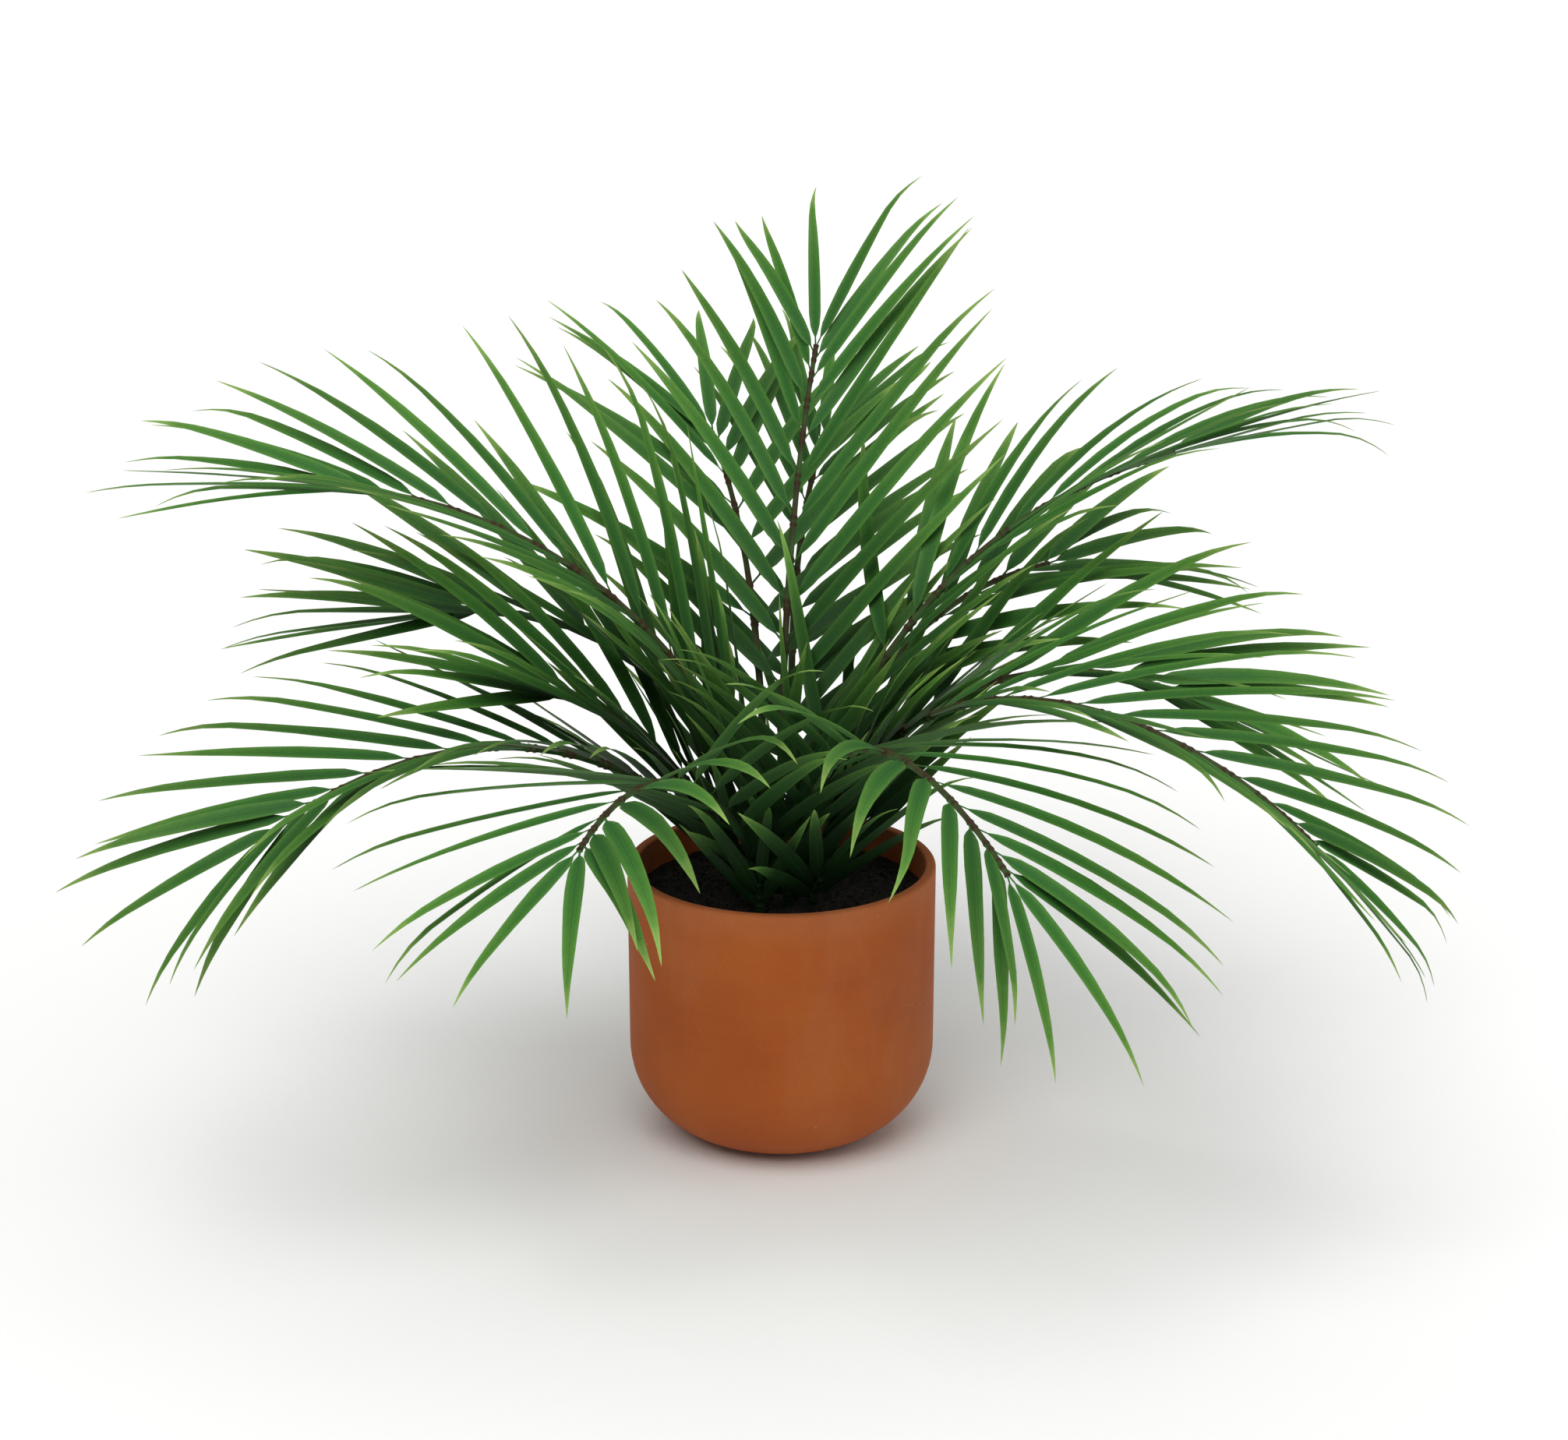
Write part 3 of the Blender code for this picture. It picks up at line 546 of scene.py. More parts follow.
# Room kept between leaflets, the angles that one may be turned by to find room, and the lengths it may shrink
# to, each with its cost in degrees.
CLEARANCE = 0.0010
NUDGES = (0, 6, -6, 12, -12, 19, -19)
SHORTENED = ((1.0, 0), (0.86, 14), (0.70, 28))
# How late along its length a stem bends and sways and a leaflet sags.
BEND_POWER = 1.1
SWAY_POWER = 1.4
SAG_POWER = 1.4
SPREAD_PULL = 0.2
# The most that chance changes a leaflet, in degrees and as a share of its length.
SCATTER = {"sweep": 2.5, "lift": 3.0, "sag": 4.0, "length": 0.04}


@dataclass(frozen=True)
class Frond:
    """One frond. Its heading is an angle about +Z from +X, and left and right are as seen from its foot."""

    name: str
    foot: tuple[float, float]
    heading: float
    rise: float
    droop: float
    length: float
    leaflet: float
    sway: float = 0.0
    start: float = 0.03
    roll: float = 0.0
    twist: float = 0.0
    sweep: tuple[float, float] = (52.0, 26.0)
    foot_sweep: float = 30.0
    skew: tuple[float, float] = (0.0, 0.0)
    lift: tuple[float, float] = (18.0, 18.0)
    inner_lift: tuple[float, float] = (0.0, 0.0)
    sag: tuple[float, float] = (22.0, 22.0)
    curl: float = 0.6
    shares: tuple[float, float, float] = (0.80, 1.0, 0.72)
    pitch: float = PITCH


FRONDS = (
    Frond("frond_crown", (-1, 5), 89, 67, 8, 0.270, 0.160, sway=-18, roll=-22, twist=12,
          sweep=(43, 23), lift=(2, 5), sag=(19, 7), curl=0.3, shares=(0.98, 1.0, 0.62), foot_sweep=36),
    Frond("frond_left_high", (-7, 1), 189, 82, 77, 0.305, 0.156, sway=-8, roll=-14, twist=12,
          sweep=(46, 18), lift=(10, 24), sag=(11, 13), curl=0.7, shares=(1.26, 1.0, 0.76), foot_sweep=24),
    Frond("frond_right_high", (6, 1), 27, 77, 64, 0.296, 0.150, sway=-28, twist=-9,
          sweep=(46, 13), lift=(24, 10), sag=(26, 8), shares=(0.98, 1.0, 0.74), foot_sweep=26),
    Frond("frond_front_right", (6, -15), -77, 69, 103, 0.300, 0.156, sway=19, roll=-3, twist=-8,
          sweep=(47, 30), lift=(12, 13), inner_lift=(0, 22), sag=(21, 21), shares=(0.86, 1.0, 0.68),
          foot_sweep=24, start=0.0),
    Frond("frond_front_left", (-6, -15), 244, 60, 77, 0.251, 0.150, sway=8, roll=4, twist=8,
          sweep=(56, 31), lift=(8, 7), inner_lift=(40, 0), sag=(27, 10), curl=0.5,
          shares=(0.88, 1.0, 0.68), foot_sweep=26, start=0.0),
    Frond("frond_left_low", (-13.5, -8.5), 217, 58, 84, 0.298, 0.132, sway=-2, roll=8, twist=-18,
          sweep=(40, 26), skew=(-14, 0), lift=(12, 14), sag=(20, 9), shares=(0.92, 1.0, 0.80)),
    Frond("frond_right_low", (13.5, -8.5), -57, 70, 113, 0.368, 0.146, sway=33, roll=1, twist=-12,
          sweep=(38, 33), skew=(0, -22), lift=(25, 24), inner_lift=(0, -55), sag=(15, 6), curl=0.8,
          shares=(0.92, 1.0, 0.58)),
    Frond("frond_left_inner", (-16, -2), 203, 70, 44, 0.150, 0.150, sway=-2, roll=-30, twist=-6,
          sweep=(40, 20), skew=(-16, 0), lift=(24, 10), sag=(6, 20), pitch=0.019, shares=(0.95, 1.0, 0.85)),
    Frond("shoot_front", (3, -25), 272, 80, 6, 0.018, 0.095,
          sweep=(34, 12), foot_sweep=50, lift=(-2, -2), sag=(10, 10), start=0.0, pitch=0.010),
    Frond("shoot_left", (-10, -35), 258, 80, 6, 0.016, 0.078,
          sweep=(20, 7), foot_sweep=26, lift=(-2, -2), sag=(8, 8), start=0.0, pitch=0.010),
    Frond("shoot_right", (14, -24), 300, 66, 12, 0.018, 0.100,
          sweep=(44, 14), foot_sweep=52, lift=(0, 0), sag=(14, 14), start=0.0, pitch=0.010),
    Frond("frond_right_mid", (16, 0.5), -9, 79, 100, 0.232, 0.142, sway=-3, roll=12, twist=6,
          sweep=(45, 20), skew=(0, -24), lift=(18, 22), sag=(18, 6), pitch=0.0198, shares=(0.85, 1.0, 0.8)),
    Frond("frond_left_mid", (-15, 6), 168, 86, 92, 0.218, 0.148, sway=12, roll=-12, twist=-8,
          sweep=(44, 18), skew=(-24, 0), lift=(24, 24), sag=(4, 11), pitch=0.0198, shares=(0.85, 1.0, 0.8)),
    Frond("frond_right_back", (13, 9), 33, 85, 82, 0.214, 0.138, sway=-11, roll=10, twist=8,
          sweep=(50, 22), lift=(22, 14), sag=(18, 20), pitch=0.0198, shares=(0.85, 1.0, 0.8)),
    Frond("frond_back_left", (-7.5, 14), 92, 69, 34, 0.240, 0.152, sway=20, roll=5, twist=2,
          sweep=(62, 26), lift=(19, 20), sag=(17, 25), foot_sweep=36),
    Frond("frond_back_right", (7.5, 14), 95, 59, 28, 0.252, 0.130, sway=-22, roll=7, twist=10,
          sweep=(52, 22), lift=(12, 10), sag=(15, 12), foot_sweep=34),
    Frond("shoot_outer_left", (-23, -4), 118, 76, 14, 0.060, 0.130,
          sweep=(42, 14), foot_sweep=40, lift=(0, 0), sag=(10, 10), start=0.0, pitch=0.015),
    Frond("shoot_outer_right", (23, -4), 62, 76, 14, 0.060, 0.130,
          sweep=(42, 14), foot_sweep=40, lift=(0, 0), sag=(10, 10), start=0.0, pitch=0.015),
    Frond("shoot_heart", (0, -7), 268, 87, 2, 0.050, 0.120,
          sweep=(38, 14), foot_sweep=44, lift=(0, 0), sag=(8, 8), start=0.0, pitch=0.013),
)


def unit(vector: np.ndarray) -> np.ndarray:
    """The vector at length one."""
    return vector / max(float(np.linalg.norm(vector)), 1e-9)


def soil_level(x: float, y: float) -> float:
    """Height of the slightly domed soil surface."""
    inner = POT_DIAMETER / 2 - POT_WALL
    return POT_HEIGHT - RIM_TO_SOIL + SOIL_DOME * max(0.0, 1 - (x * x + y * y) / inner**2)


@dataclass(frozen=True)
class Spine:
    """A stem's middle line, with its forward, upward and rightward directions."""

    points: np.ndarray
    forward: np.ndarray
    upward: np.ndarray
    rightward: np.ndarray

    def at(self, share: float) -> tuple[np.ndarray, np.ndarray, np.ndarray, np.ndarray]:
        """Find a place on the stem.

        Args:
            share: The share of the stem's length.

        Returns:
            The place and the forward, upward and rightward directions there.
        """
        station = min(max(share, 0.0), 1.0) * STEM_STATIONS
        low = min(int(station), STEM_STATIONS - 1)
        part = station - low
        near = min(int(round(station)), STEM_STATIONS)
        place = self.points[low] * (1 - part) + self.points[low + 1] * part
        return place, self.forward[near], self.upward[near], self.rightward[near]


def spine_of(frond: Frond) -> Spine:
    """Draw a stem: it rises from its foot and bends over evenly along its length.

    Args:
        frond: The frond.

    Returns:
        Its stem's line.
    """
    share = np.arange(STEM_STATIONS + 1) / STEM_STATIONS
    climb = np.radians(frond.rise - frond.droop * share**BEND_POWER)
    heading = np.radians(frond.heading + frond.sway * share**SWAY_POWER)
    level = np.cos(climb)
    forward = np.stack([level * np.cos(heading), level * np.sin(heading), np.sin(climb)], -1)
    steep = -np.sin(climb)
    upward = np.stack([steep * np.cos(heading), steep * np.sin(heading), level], -1)
    rightward = np.stack([np.sin(heading), -np.cos(heading), 0 * heading], -1)
    turn = np.radians(frond.roll + frond.twist * share)[:, None]
    turned_up = upward * np.cos(turn) + rightward * np.sin(turn)
    turned_right = rightward * np.cos(turn) - upward * np.sin(turn)
    x, y = (MM * value for value in frond.foot)
    foot = np.array([x, y, soil_level(x, y) + ROOT_RISE])
    steps = np.cumsum(forward[:-1] * frond.length / STEM_STATIONS, axis=0)
    return Spine(np.vstack([foot, foot + steps]), forward, turned_up, turned_right)


@dataclass(frozen=True)
class Leaflet:
    """Where one leaflet grows on its frond and how it leaves the stem."""

    share: float
    side: int
    length: float
    width: float
    sweep: float
    lift: float
    sag: float
    curl: float


@dataclass(frozen=True)
class Blade:
    """A leaflet's middle line, its sideways direction and its half width at each station."""

    points: np.ndarray
    across: np.ndarray
    normal: np.ndarray
    half_width: np.ndarray


def width_share(share: float) -> float:
    """Outline of a leaflet: a thin stalk, a sloping shoulder, a long even blade and a thread-like tip.

    Args:
        share: The share of the leaflet's length.

    Returns:
        The width there as a share of the leaflet's greatest width.
    """
    if share < 0.04:
        return 0.14
    if share < 0.12:
        return 0.14 + 0.56 * ((share - 0.04) / 0.08) ** 0.8
    if share < 0.32:
        return 0.70 + 0.30 * math.sin((share - 0.12) / 0.20 * math.pi / 2)
    body = 1 - (max(0.0, share - 0.32) / 0.62) ** 2.0
    thread = 0.16 - 0.13 * max(0.0, share - 0.80) / 0.20
    return max(body, thread)


def length_share(frond: Frond, age: float) -> float:
    """Leaflet length along the stem: longest a third of the way down from the tip, shorter at both ends.

    Args:
        frond: The frond.
        age: Zero at the stem's tip and one at the lowest full-grown leaflet.

    Returns:
        The length as a share of the frond's leaflet length.
    """
    base, full, tip = frond.shares
    if age <= 0.65:
        return full + (tip - full) * (1 - age / 0.65) ** 1.8
    if age <= 1.0:
        return full + (base - full) * (age - 0.65) / 0.35
    return max(0.75, base - 0.20 * (age - 1.0))


def node_shares(frond: Frond) -> list[float]:
    """Places of a frond's pairs of leaflets from the tip down, crowded towards the tip.

    Args:
        frond: The frond.

    Returns:
        The shares of the stem's length.
    """
    shares = []
    share = LAST_NODE
    while share > frond.start:
        gap = TIP_GAP + (1 - TIP_GAP) * min(1.0, len(shares) / CROWDED_PAIRS)
        shares.append(share)
        share -= gap * frond.pitch / frond.length
    return shares


def sweep_angle(frond: Frond, share: float, ends_stem: bool) -> float:
    """Angle between a leaflet and its stem: widest below the middle, narrow at the tip and at the foot.

    Args:
        frond: The frond.
        share: The leaflet's place on the stem.
        ends_stem: Whether it is one of the pair that ends the stem.

    Returns:
        The angle.
    """
    full, tip = frond.sweep
    if ends_stem:
        return max(6.0, 0.45 * tip)
    if share > FULL_SHARE:
        return full + (tip - full) * (share - FULL_SHARE) / (1 - FULL_SHARE)
    return full + (frond.foot_sweep - full) * (1 - share / FULL_SHARE)


def leaflets_of(frond: Frond, seed: int) -> list[Leaflet]:
    """Set out a frond's leaflets in pairs from the tip down to the foot, with a little natural scatter.

    Args:
        frond: The frond.
        seed: The seed of the scatter.

    Returns:
        The leaflets, those at the tip first.
    """
    draw = np.random.default_rng(seed)
    grown = []
    for step, place in enumerate([1.0, *node_shares(frond)]):
        for side in (-1, 1):
            ends_stem = step == 0
            share = place if ends_stem or side < 0 else place - STAGGER * frond.pitch / frond.length
            age = 1 - (share - FULL_SHARE) / (1 - FULL_SHARE)
            row = 0 if side < 0 else 1
            bend = FOOT_BEND + (1 - FOOT_BEND) * min(1.0, share / FULL_SHARE)
            # A leaflet is a fifth narrower at the stem's tip and up to two fifths at its foot.
            fullness = min(0.80 + 0.20 * age, 0.62 + 0.38 * share / FULL_SHARE)
            scatter = {key: reach * draw.uniform(-1, 1) for key, reach in SCATTER.items()}
            lift = frond.lift[row] * min(0.55 + 0.45 * age, share / FULL_SHARE)
            skew = frond.skew[row] * min(1.0, age)
            grown.append(Leaflet(
                share=share,
                side=side,
                length=frond.leaflet * length_share(frond, age) * (1 + scatter["length"]),
                width=LEAFLET_WIDTH * fullness * (0.40 + 0.60 * frond.leaflet / 0.15),
                sweep=sweep_angle(frond, share, ends_stem) + skew + scatter["sweep"],
                lift=lift + frond.inner_lift[row] * (1 - share) + scatter["lift"],
                sag=frond.sag[row] * bend + scatter["sag"],
                curl=frond.curl * min(1.0, share / FULL_SHARE),
            ))
    return grown


def turned(vector: np.ndarray, axis: np.ndarray, angle: np.ndarray) -> np.ndarray:
    """The vector turned about the axis, one row for each angle."""
    cosine, sine = np.cos(angle), np.sin(angle)
    return vector * cosine + np.cross(axis, vector) * sine + axis * (axis @ vector) * (1 - cosine)


def blade_of(frond: Frond, spine: Spine, leaf: Leaflet, shares: tuple[float, ...]) -> Blade:
    """Bend one leaflet: it leaves the stem forwards and sideways, then curves down and along the stem.

    Args:
        frond: The frond that it grows on.
        spine: That frond's stem.
        leaf: The leaflet's place and angles.
        shares: The shares of the leaflet's length at which its stations stand.

    Returns:
        The leaflet's stations.
    """
    place, forward, upward, rightward = spine.at(leaf.share)
    sideways = rightward * leaf.side
    sweep, lift, sag = (math.radians(value) for value in (leaf.sweep, leaf.lift, leaf.sag))
    outward = math.cos(lift) * sideways + math.sin(lift) * upward
    start = math.cos(sweep) * forward + math.sin(sweep) * outward
    across = unit(forward - (forward @ start) * start)
    normal = np.cross(across, start)
    if normal @ upward < 0:
        normal = -normal
    spread = unit(np.array([sideways[0], sideways[1], 1e-9]))
    pull = unit(np.array([0.0, 0.0, -1.0]) + SPREAD_PULL * spread + leaf.curl * forward)
    axis = unit(np.cross(start, pull))
    fine = np.arange(BLADE_SPANS) / BLADE_SPANS + 0.5 / BLADE_SPANS
    steps = turned(start, axis, (sag * fine**SAG_POWER)[:, None]) * leaf.length / BLADE_SPANS
    root = place + outward * STALK_OFFSET
    line = np.vstack([root, root + np.cumsum(steps, axis=0)])
    share = np.array(shares)
    stations = np.arange(BLADE_SPANS + 1)
    points = np.stack([np.interp(share * BLADE_SPANS, stations, line[:, k]) for k in range(3)], -1)
    angle = (sag * share**SAG_POWER)[:, None]
    along = turned(start, axis, angle)
    face = turned(normal, axis, angle)
    half = np.array([width_share(value) for value in shares]) * leaf.width / 2
    return Blade(points, np.cross(face, along), face, half)


@dataclass(frozen=True)
class Envelope:
    """A closed sleeve round a piece, with its box, for finding what comes too close."""

    owner: str
    tree: BVHTree
    low: np.ndarray
    high: np.ndarray


def sleeve(owner: str, rings: np.ndarray) -> Envelope:
    """Wrap a sleeve through rings of equal size.

    Args:
        owner: Whose room it is.
        rings: The rings, as an array of rings, corners and coordinates.

    Returns:
        The sleeve.
    """
    count, sides, _ = rings.shape
    faces = []
    for ring in range(count - 1):
        for corner in range(sides):
            beside = (corner + 1) % sides
            base = ring * sides
            faces.append((base + corner, base + beside, base + sides + beside, base + sides + corner))
    faces.append(tuple(range(sides)))
    faces.append(tuple(range((count - 1) * sides, count * sides)))
    points = rings.reshape(-1, 3)
    tree = BVHTree.FromPolygons([tuple(point) for point in points], faces)
    return Envelope(owner, tree, points.min(axis=0), points.max(axis=0))


def blade_sleeves(name: str, blade: Blade) -> list[Envelope]:
    """Wrap the room that a leaflet takes.

    Args:
        name: The frond's name.
        blade: The leaflet.

    Returns:
        The stalk's sleeve, owned by the frond, and the sleeve of the rest of the blade.
    """
    reach = (blade.half_width + CLEARANCE / 2)[:, None]
    rise = CLEARANCE / 2 + LEAFLET_THICKNESS / 2
    corners = [
        blade.points + blade.across * reach * a + blade.normal * rise * b
        for a, b in ((1, 1), (-1, 1), (-1, -1), (1, -1))
    ]
    rings = np.stack(corners, axis=1)
    return [sleeve(name, rings[:2]), sleeve(f"{name}_leaflet", rings[1:])]


def stem_radius(share: float) -> float:
    """The stem thins evenly towards its tip."""
    return STEM_RADIUS * (1 - (1 - STEM_TIP_SHARE) * share)


def stem_sleeve(frond: Frond, spine: Spine) -> Envelope:
    """Wrap the room that a stem takes.

    Args:
        frond: The frond.
        spine: Its stem.

    Returns:
        The sleeve.
    """
    rings = []
    for step in range(0, STEM_STATIONS + 1, 2):
        reach = stem_radius(step / STEM_STATIONS) + CLEARANCE / 2
        up, right = spine.upward[step] * reach, spine.rightward[step] * reach
        corners = (up + right, up - right, -up - right, right - up)
        rings.append([spine.points[step] + corner for corner in corners])
    return sleeve(frond.name, np.array(rings))


def round_sleeve(owner: str, profile: list[tuple[float, float]], sides: int = 32) -> Envelope:
    """Turn a profile of radii and heights into a sleeve.

    Args:
        owner: Whose room it is.
        profile: The radii and heights.
        sides: The number of flats.

    Returns:
        The sleeve.
    """
    angles = [2 * math.pi * turn / sides for turn in range(sides)]
    rings = [[(r * math.cos(a), r * math.sin(a), z) for a in angles] for r, z in profile]
    return sleeve(owner, np.array(rings))


def pot_sleeves() -> list[Envelope]:
    """Wrap the room that the pot's wall and the soil take.

    Returns:
        The two sleeves.
    """
    outer, inner = POT_DIAMETER / 2, POT_DIAMETER / 2 - POT_WALL
    room = CLEARANCE / 2
    wall = [(outer + room, 0.0), (outer + room, POT_HEIGHT + room), (inner - room, POT_HEIGHT + room),
            (inner - room, POT_HEIGHT - RIM_TO_SOIL)]
    top = POT_HEIGHT - RIM_TO_SOIL + room
    soil = [(inner, top - room), (inner, top), (inner / 2, top + SOIL_DOME * 0.8), (0.001, top + SOIL_DOME)]
    return [round_sleeve("pot", wall), round_sleeve("soil", soil)]


def nudged(leaf: Leaflet) -> list[Leaflet]:
    """List a leaflet as it is and then with growing changes of lift, sweep and length.

    Args:
        leaf: The leaflet.

    Returns:
        The choices, the smallest change first.
    """
    moves = sorted(
        (abs(up) + abs(out) + cost, up, out, share)
        for up in NUDGES
        for out in NUDGES
        for share, cost in SHORTENED
    )
    return [
        replace(leaf, lift=leaf.lift + up, sweep=leaf.sweep + 0.6 * out, length=leaf.length * share)
        for _, up, out, share in moves
    ]


class Room:
    """All the room that is taken so far by one kind of blade."""

    def __init__(self, taken: list[Envelope]) -> None:
        """Start with the pieces that stand already.

        Args:
            taken: Their sleeves.
        """
        self.taken: list[Envelope] = []
        self.lows = np.zeros((0, 3))
        self.highs = np.zeros((0, 3))
        self.add(taken)

    def add(self, more: list[Envelope]) -> None:
        """Take more room.

        Args:
            more: The sleeves that take it.
        """
        self.taken += more
        self.lows = np.vstack([self.lows, [item.low for item in more]])
        self.highs = np.vstack([self.highs, [item.high for item in more]])

    def is_free(self, item: Envelope, ignored: tuple[str, ...]) -> bool:
        """Test a sleeve against all that is taken.

        Args:
            item: The sleeve.
            ignored: Owners whose room it may share.

        Returns:
            True if it meets nothing else.
        """
        near = np.all((self.lows <= item.high) & (self.highs >= item.low), axis=1)
        others = (self.taken[index] for index in np.flatnonzero(near))
        return not any(other.owner not in ignored and item.tree.overlap(other.tree) for other in others)

    def fits(self, name: str, sleeves: list[Envelope]) -> bool:
        """Test a leaflet: its stalk is kept clear of the other fronds, and its blade of all leaflets too.

        Args:
            name: The frond's name.
            sleeves: The stalk's sleeve and the blade's.

        Returns:
            True if both are free.
        """
        stalk, rest = sleeves
        return self.is_free(rest, (name,)) and self.is_free(stalk, (name, f"{name}_leaflet"))


def grow() -> tuple[dict[str, Spine], dict[str, list[Leaflet]]]:
    """Give every leaflet the first of its nudged places that is clear of all that grew before it.

    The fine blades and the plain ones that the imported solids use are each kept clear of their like.

    Returns:
        The stems' lines, and each frond's leaflets that found room, by name.
    """
    spines = {frond.name: spine_of(frond) for frond in FRONDS}
    start = pot_sleeves() + [stem_sleeve(frond, spines[frond.name]) for frond in FRONDS]
    fine, plain = Room(start), Room(start)
    leaves: dict[str, list[Leaflet]] = {frond.name: [] for frond in FRONDS}
    for seed, frond in enumerate(FRONDS):
        name, spine = frond.name, spines[frond.name]
        for leaf in leaflets_of(frond, seed):
            for choice in nudged(leaf):
                fine_sleeves = blade_sleeves(name, blade_of(frond, spine, choice, FINE_SHARES))
                if not fine.fits(name, fine_sleeves):
                    continue
                plain_sleeves = blade_sleeves(name, blade_of(frond, spine, choice, SOLID_SHARES))
                if not plain.fits(name, plain_sleeves):
                    continue
                fine.add(fine_sleeves)
                plain.add(plain_sleeves)
                leaves[name].append(choice)
                break
    return spines, leaves


# ---------------------------------------------------------------- pieces


@dataclass
class LeafletShape:
    """The closed blade that every leaflet copies: two thin halves folded a little along the midrib."""

    outline: tuple[tuple[float, float], ...] = (
        (0.0, 0.14), (0.045, 0.12), (0.075, 0.50), (0.11, 0.80), (0.18, 0.95), (0.30, 1.0), (0.42, 0.95),
        (0.54, 0.85), (0.66, 0.71), (0.76, 0.55), (0.85, 0.37), (0.92, 0.20), (0.97, 0.09), (1.0, 0.03))
    thickness: float = 0.45 * MM
    fold: float = 0.14
    slimness: float = 1.0
    ripple: float = 0.035
    wring: float = 7.0
    waves: tuple[float, float] = (0.6, 1.3)
    hook: tuple[float, float] = (-1.0 * MM, 7.0 * MM)
    hook_start: float = 0.74
    hook_aside: float = 0.7

    @property
    def shares(self) -> tuple[float, ...]:
        """The shares of the length at which the blade's rings stand."""
        return tuple(share for share, _ in self.outline)

    def weathered(self, blade: Blade, draw: np.random.Generator) -> Blade:
        """Give one copy its own small ripples and twist, and hook its thin tip.

        Args:
            blade: The leaflet's even stations, one for each of the shares.
            draw: The source of the scatter.

        Returns:
            The stations of a grown leaflet.
        """
        share = np.array(self.shares)
        fuller = [self.slimness * width / width_share(place) for place, width in self.outline]
        half = blade.half_width * fuller * (1 + self.ripple * draw.uniform(-1, 1, len(share)))
        wave = np.sin(2 * math.pi * (share * draw.uniform(*self.waves) + draw.uniform(0, 1)))
        turn = np.radians(self.wring * wave * share)[:, None]
        across = blade.across * np.cos(turn) + blade.normal * np.sin(turn)
        normal = blade.normal * np.cos(turn) - blade.across * np.sin(turn)
        hooked = np.clip(share - self.hook_start, 0, None) / (1 - self.hook_start)
        reach = draw.uniform(*self.hook) * hooked**2
        aside = draw.uniform(-self.hook_aside, self.hook_aside)
        points = blade.points + reach[:, None] * (aside * across[-1] - normal[-1])
        return Blade(points, across, normal, half)

    def mesh(self, blade: Blade) -> tuple[np.ndarray, list[tuple[int, ...]], list[tuple[float, float]]]:
        """Bend a copy of the shape along a leaflet's stations.

        Args:
            blade: The stations, one for each of the shares.

        Returns:
            The points, the faces and each point's place across and along the blade.
        """
        half = blade.half_width[:-1, None]
        body = np.minimum(self.thickness, 0.9 * half) / 2
        middle, across, normal = blade.points[:-1], blade.across[:-1], blade.normal[:-1]
        # The margins stand up from the valley between them.
        edge = self.fold * half * normal
        valley = 0.5 * self.fold * half
        corners = [middle + across * half + edge, middle + normal * (body - valley),
                   middle - across * half + edge, middle - normal * (body + valley)]
        points = np.vstack([np.stack(corners, axis=1).reshape(-1, 3), blade.points[-1:]])
        size, rings = len(corners), len(self.shares) - 1
        places = [(place, share) for share in self.shares[:-1] for place in (1.0, 0.5, 0.0, 0.5)]
        places.append((0.5, 1.0))
        tip = size * rings
        faces: list[tuple[int, ...]] = [tuple(range(size))]
        for ring in range(rings):
            for corner in range(size):
                beside = (corner + 1) % size
                low, high = ring * size, (ring + 1) * size
                if high < tip:
                    faces.append((low + corner, low + beside, high + beside, high + corner))
                else:
                    faces.append((low + corner, low + beside, tip))
        return points, faces, places


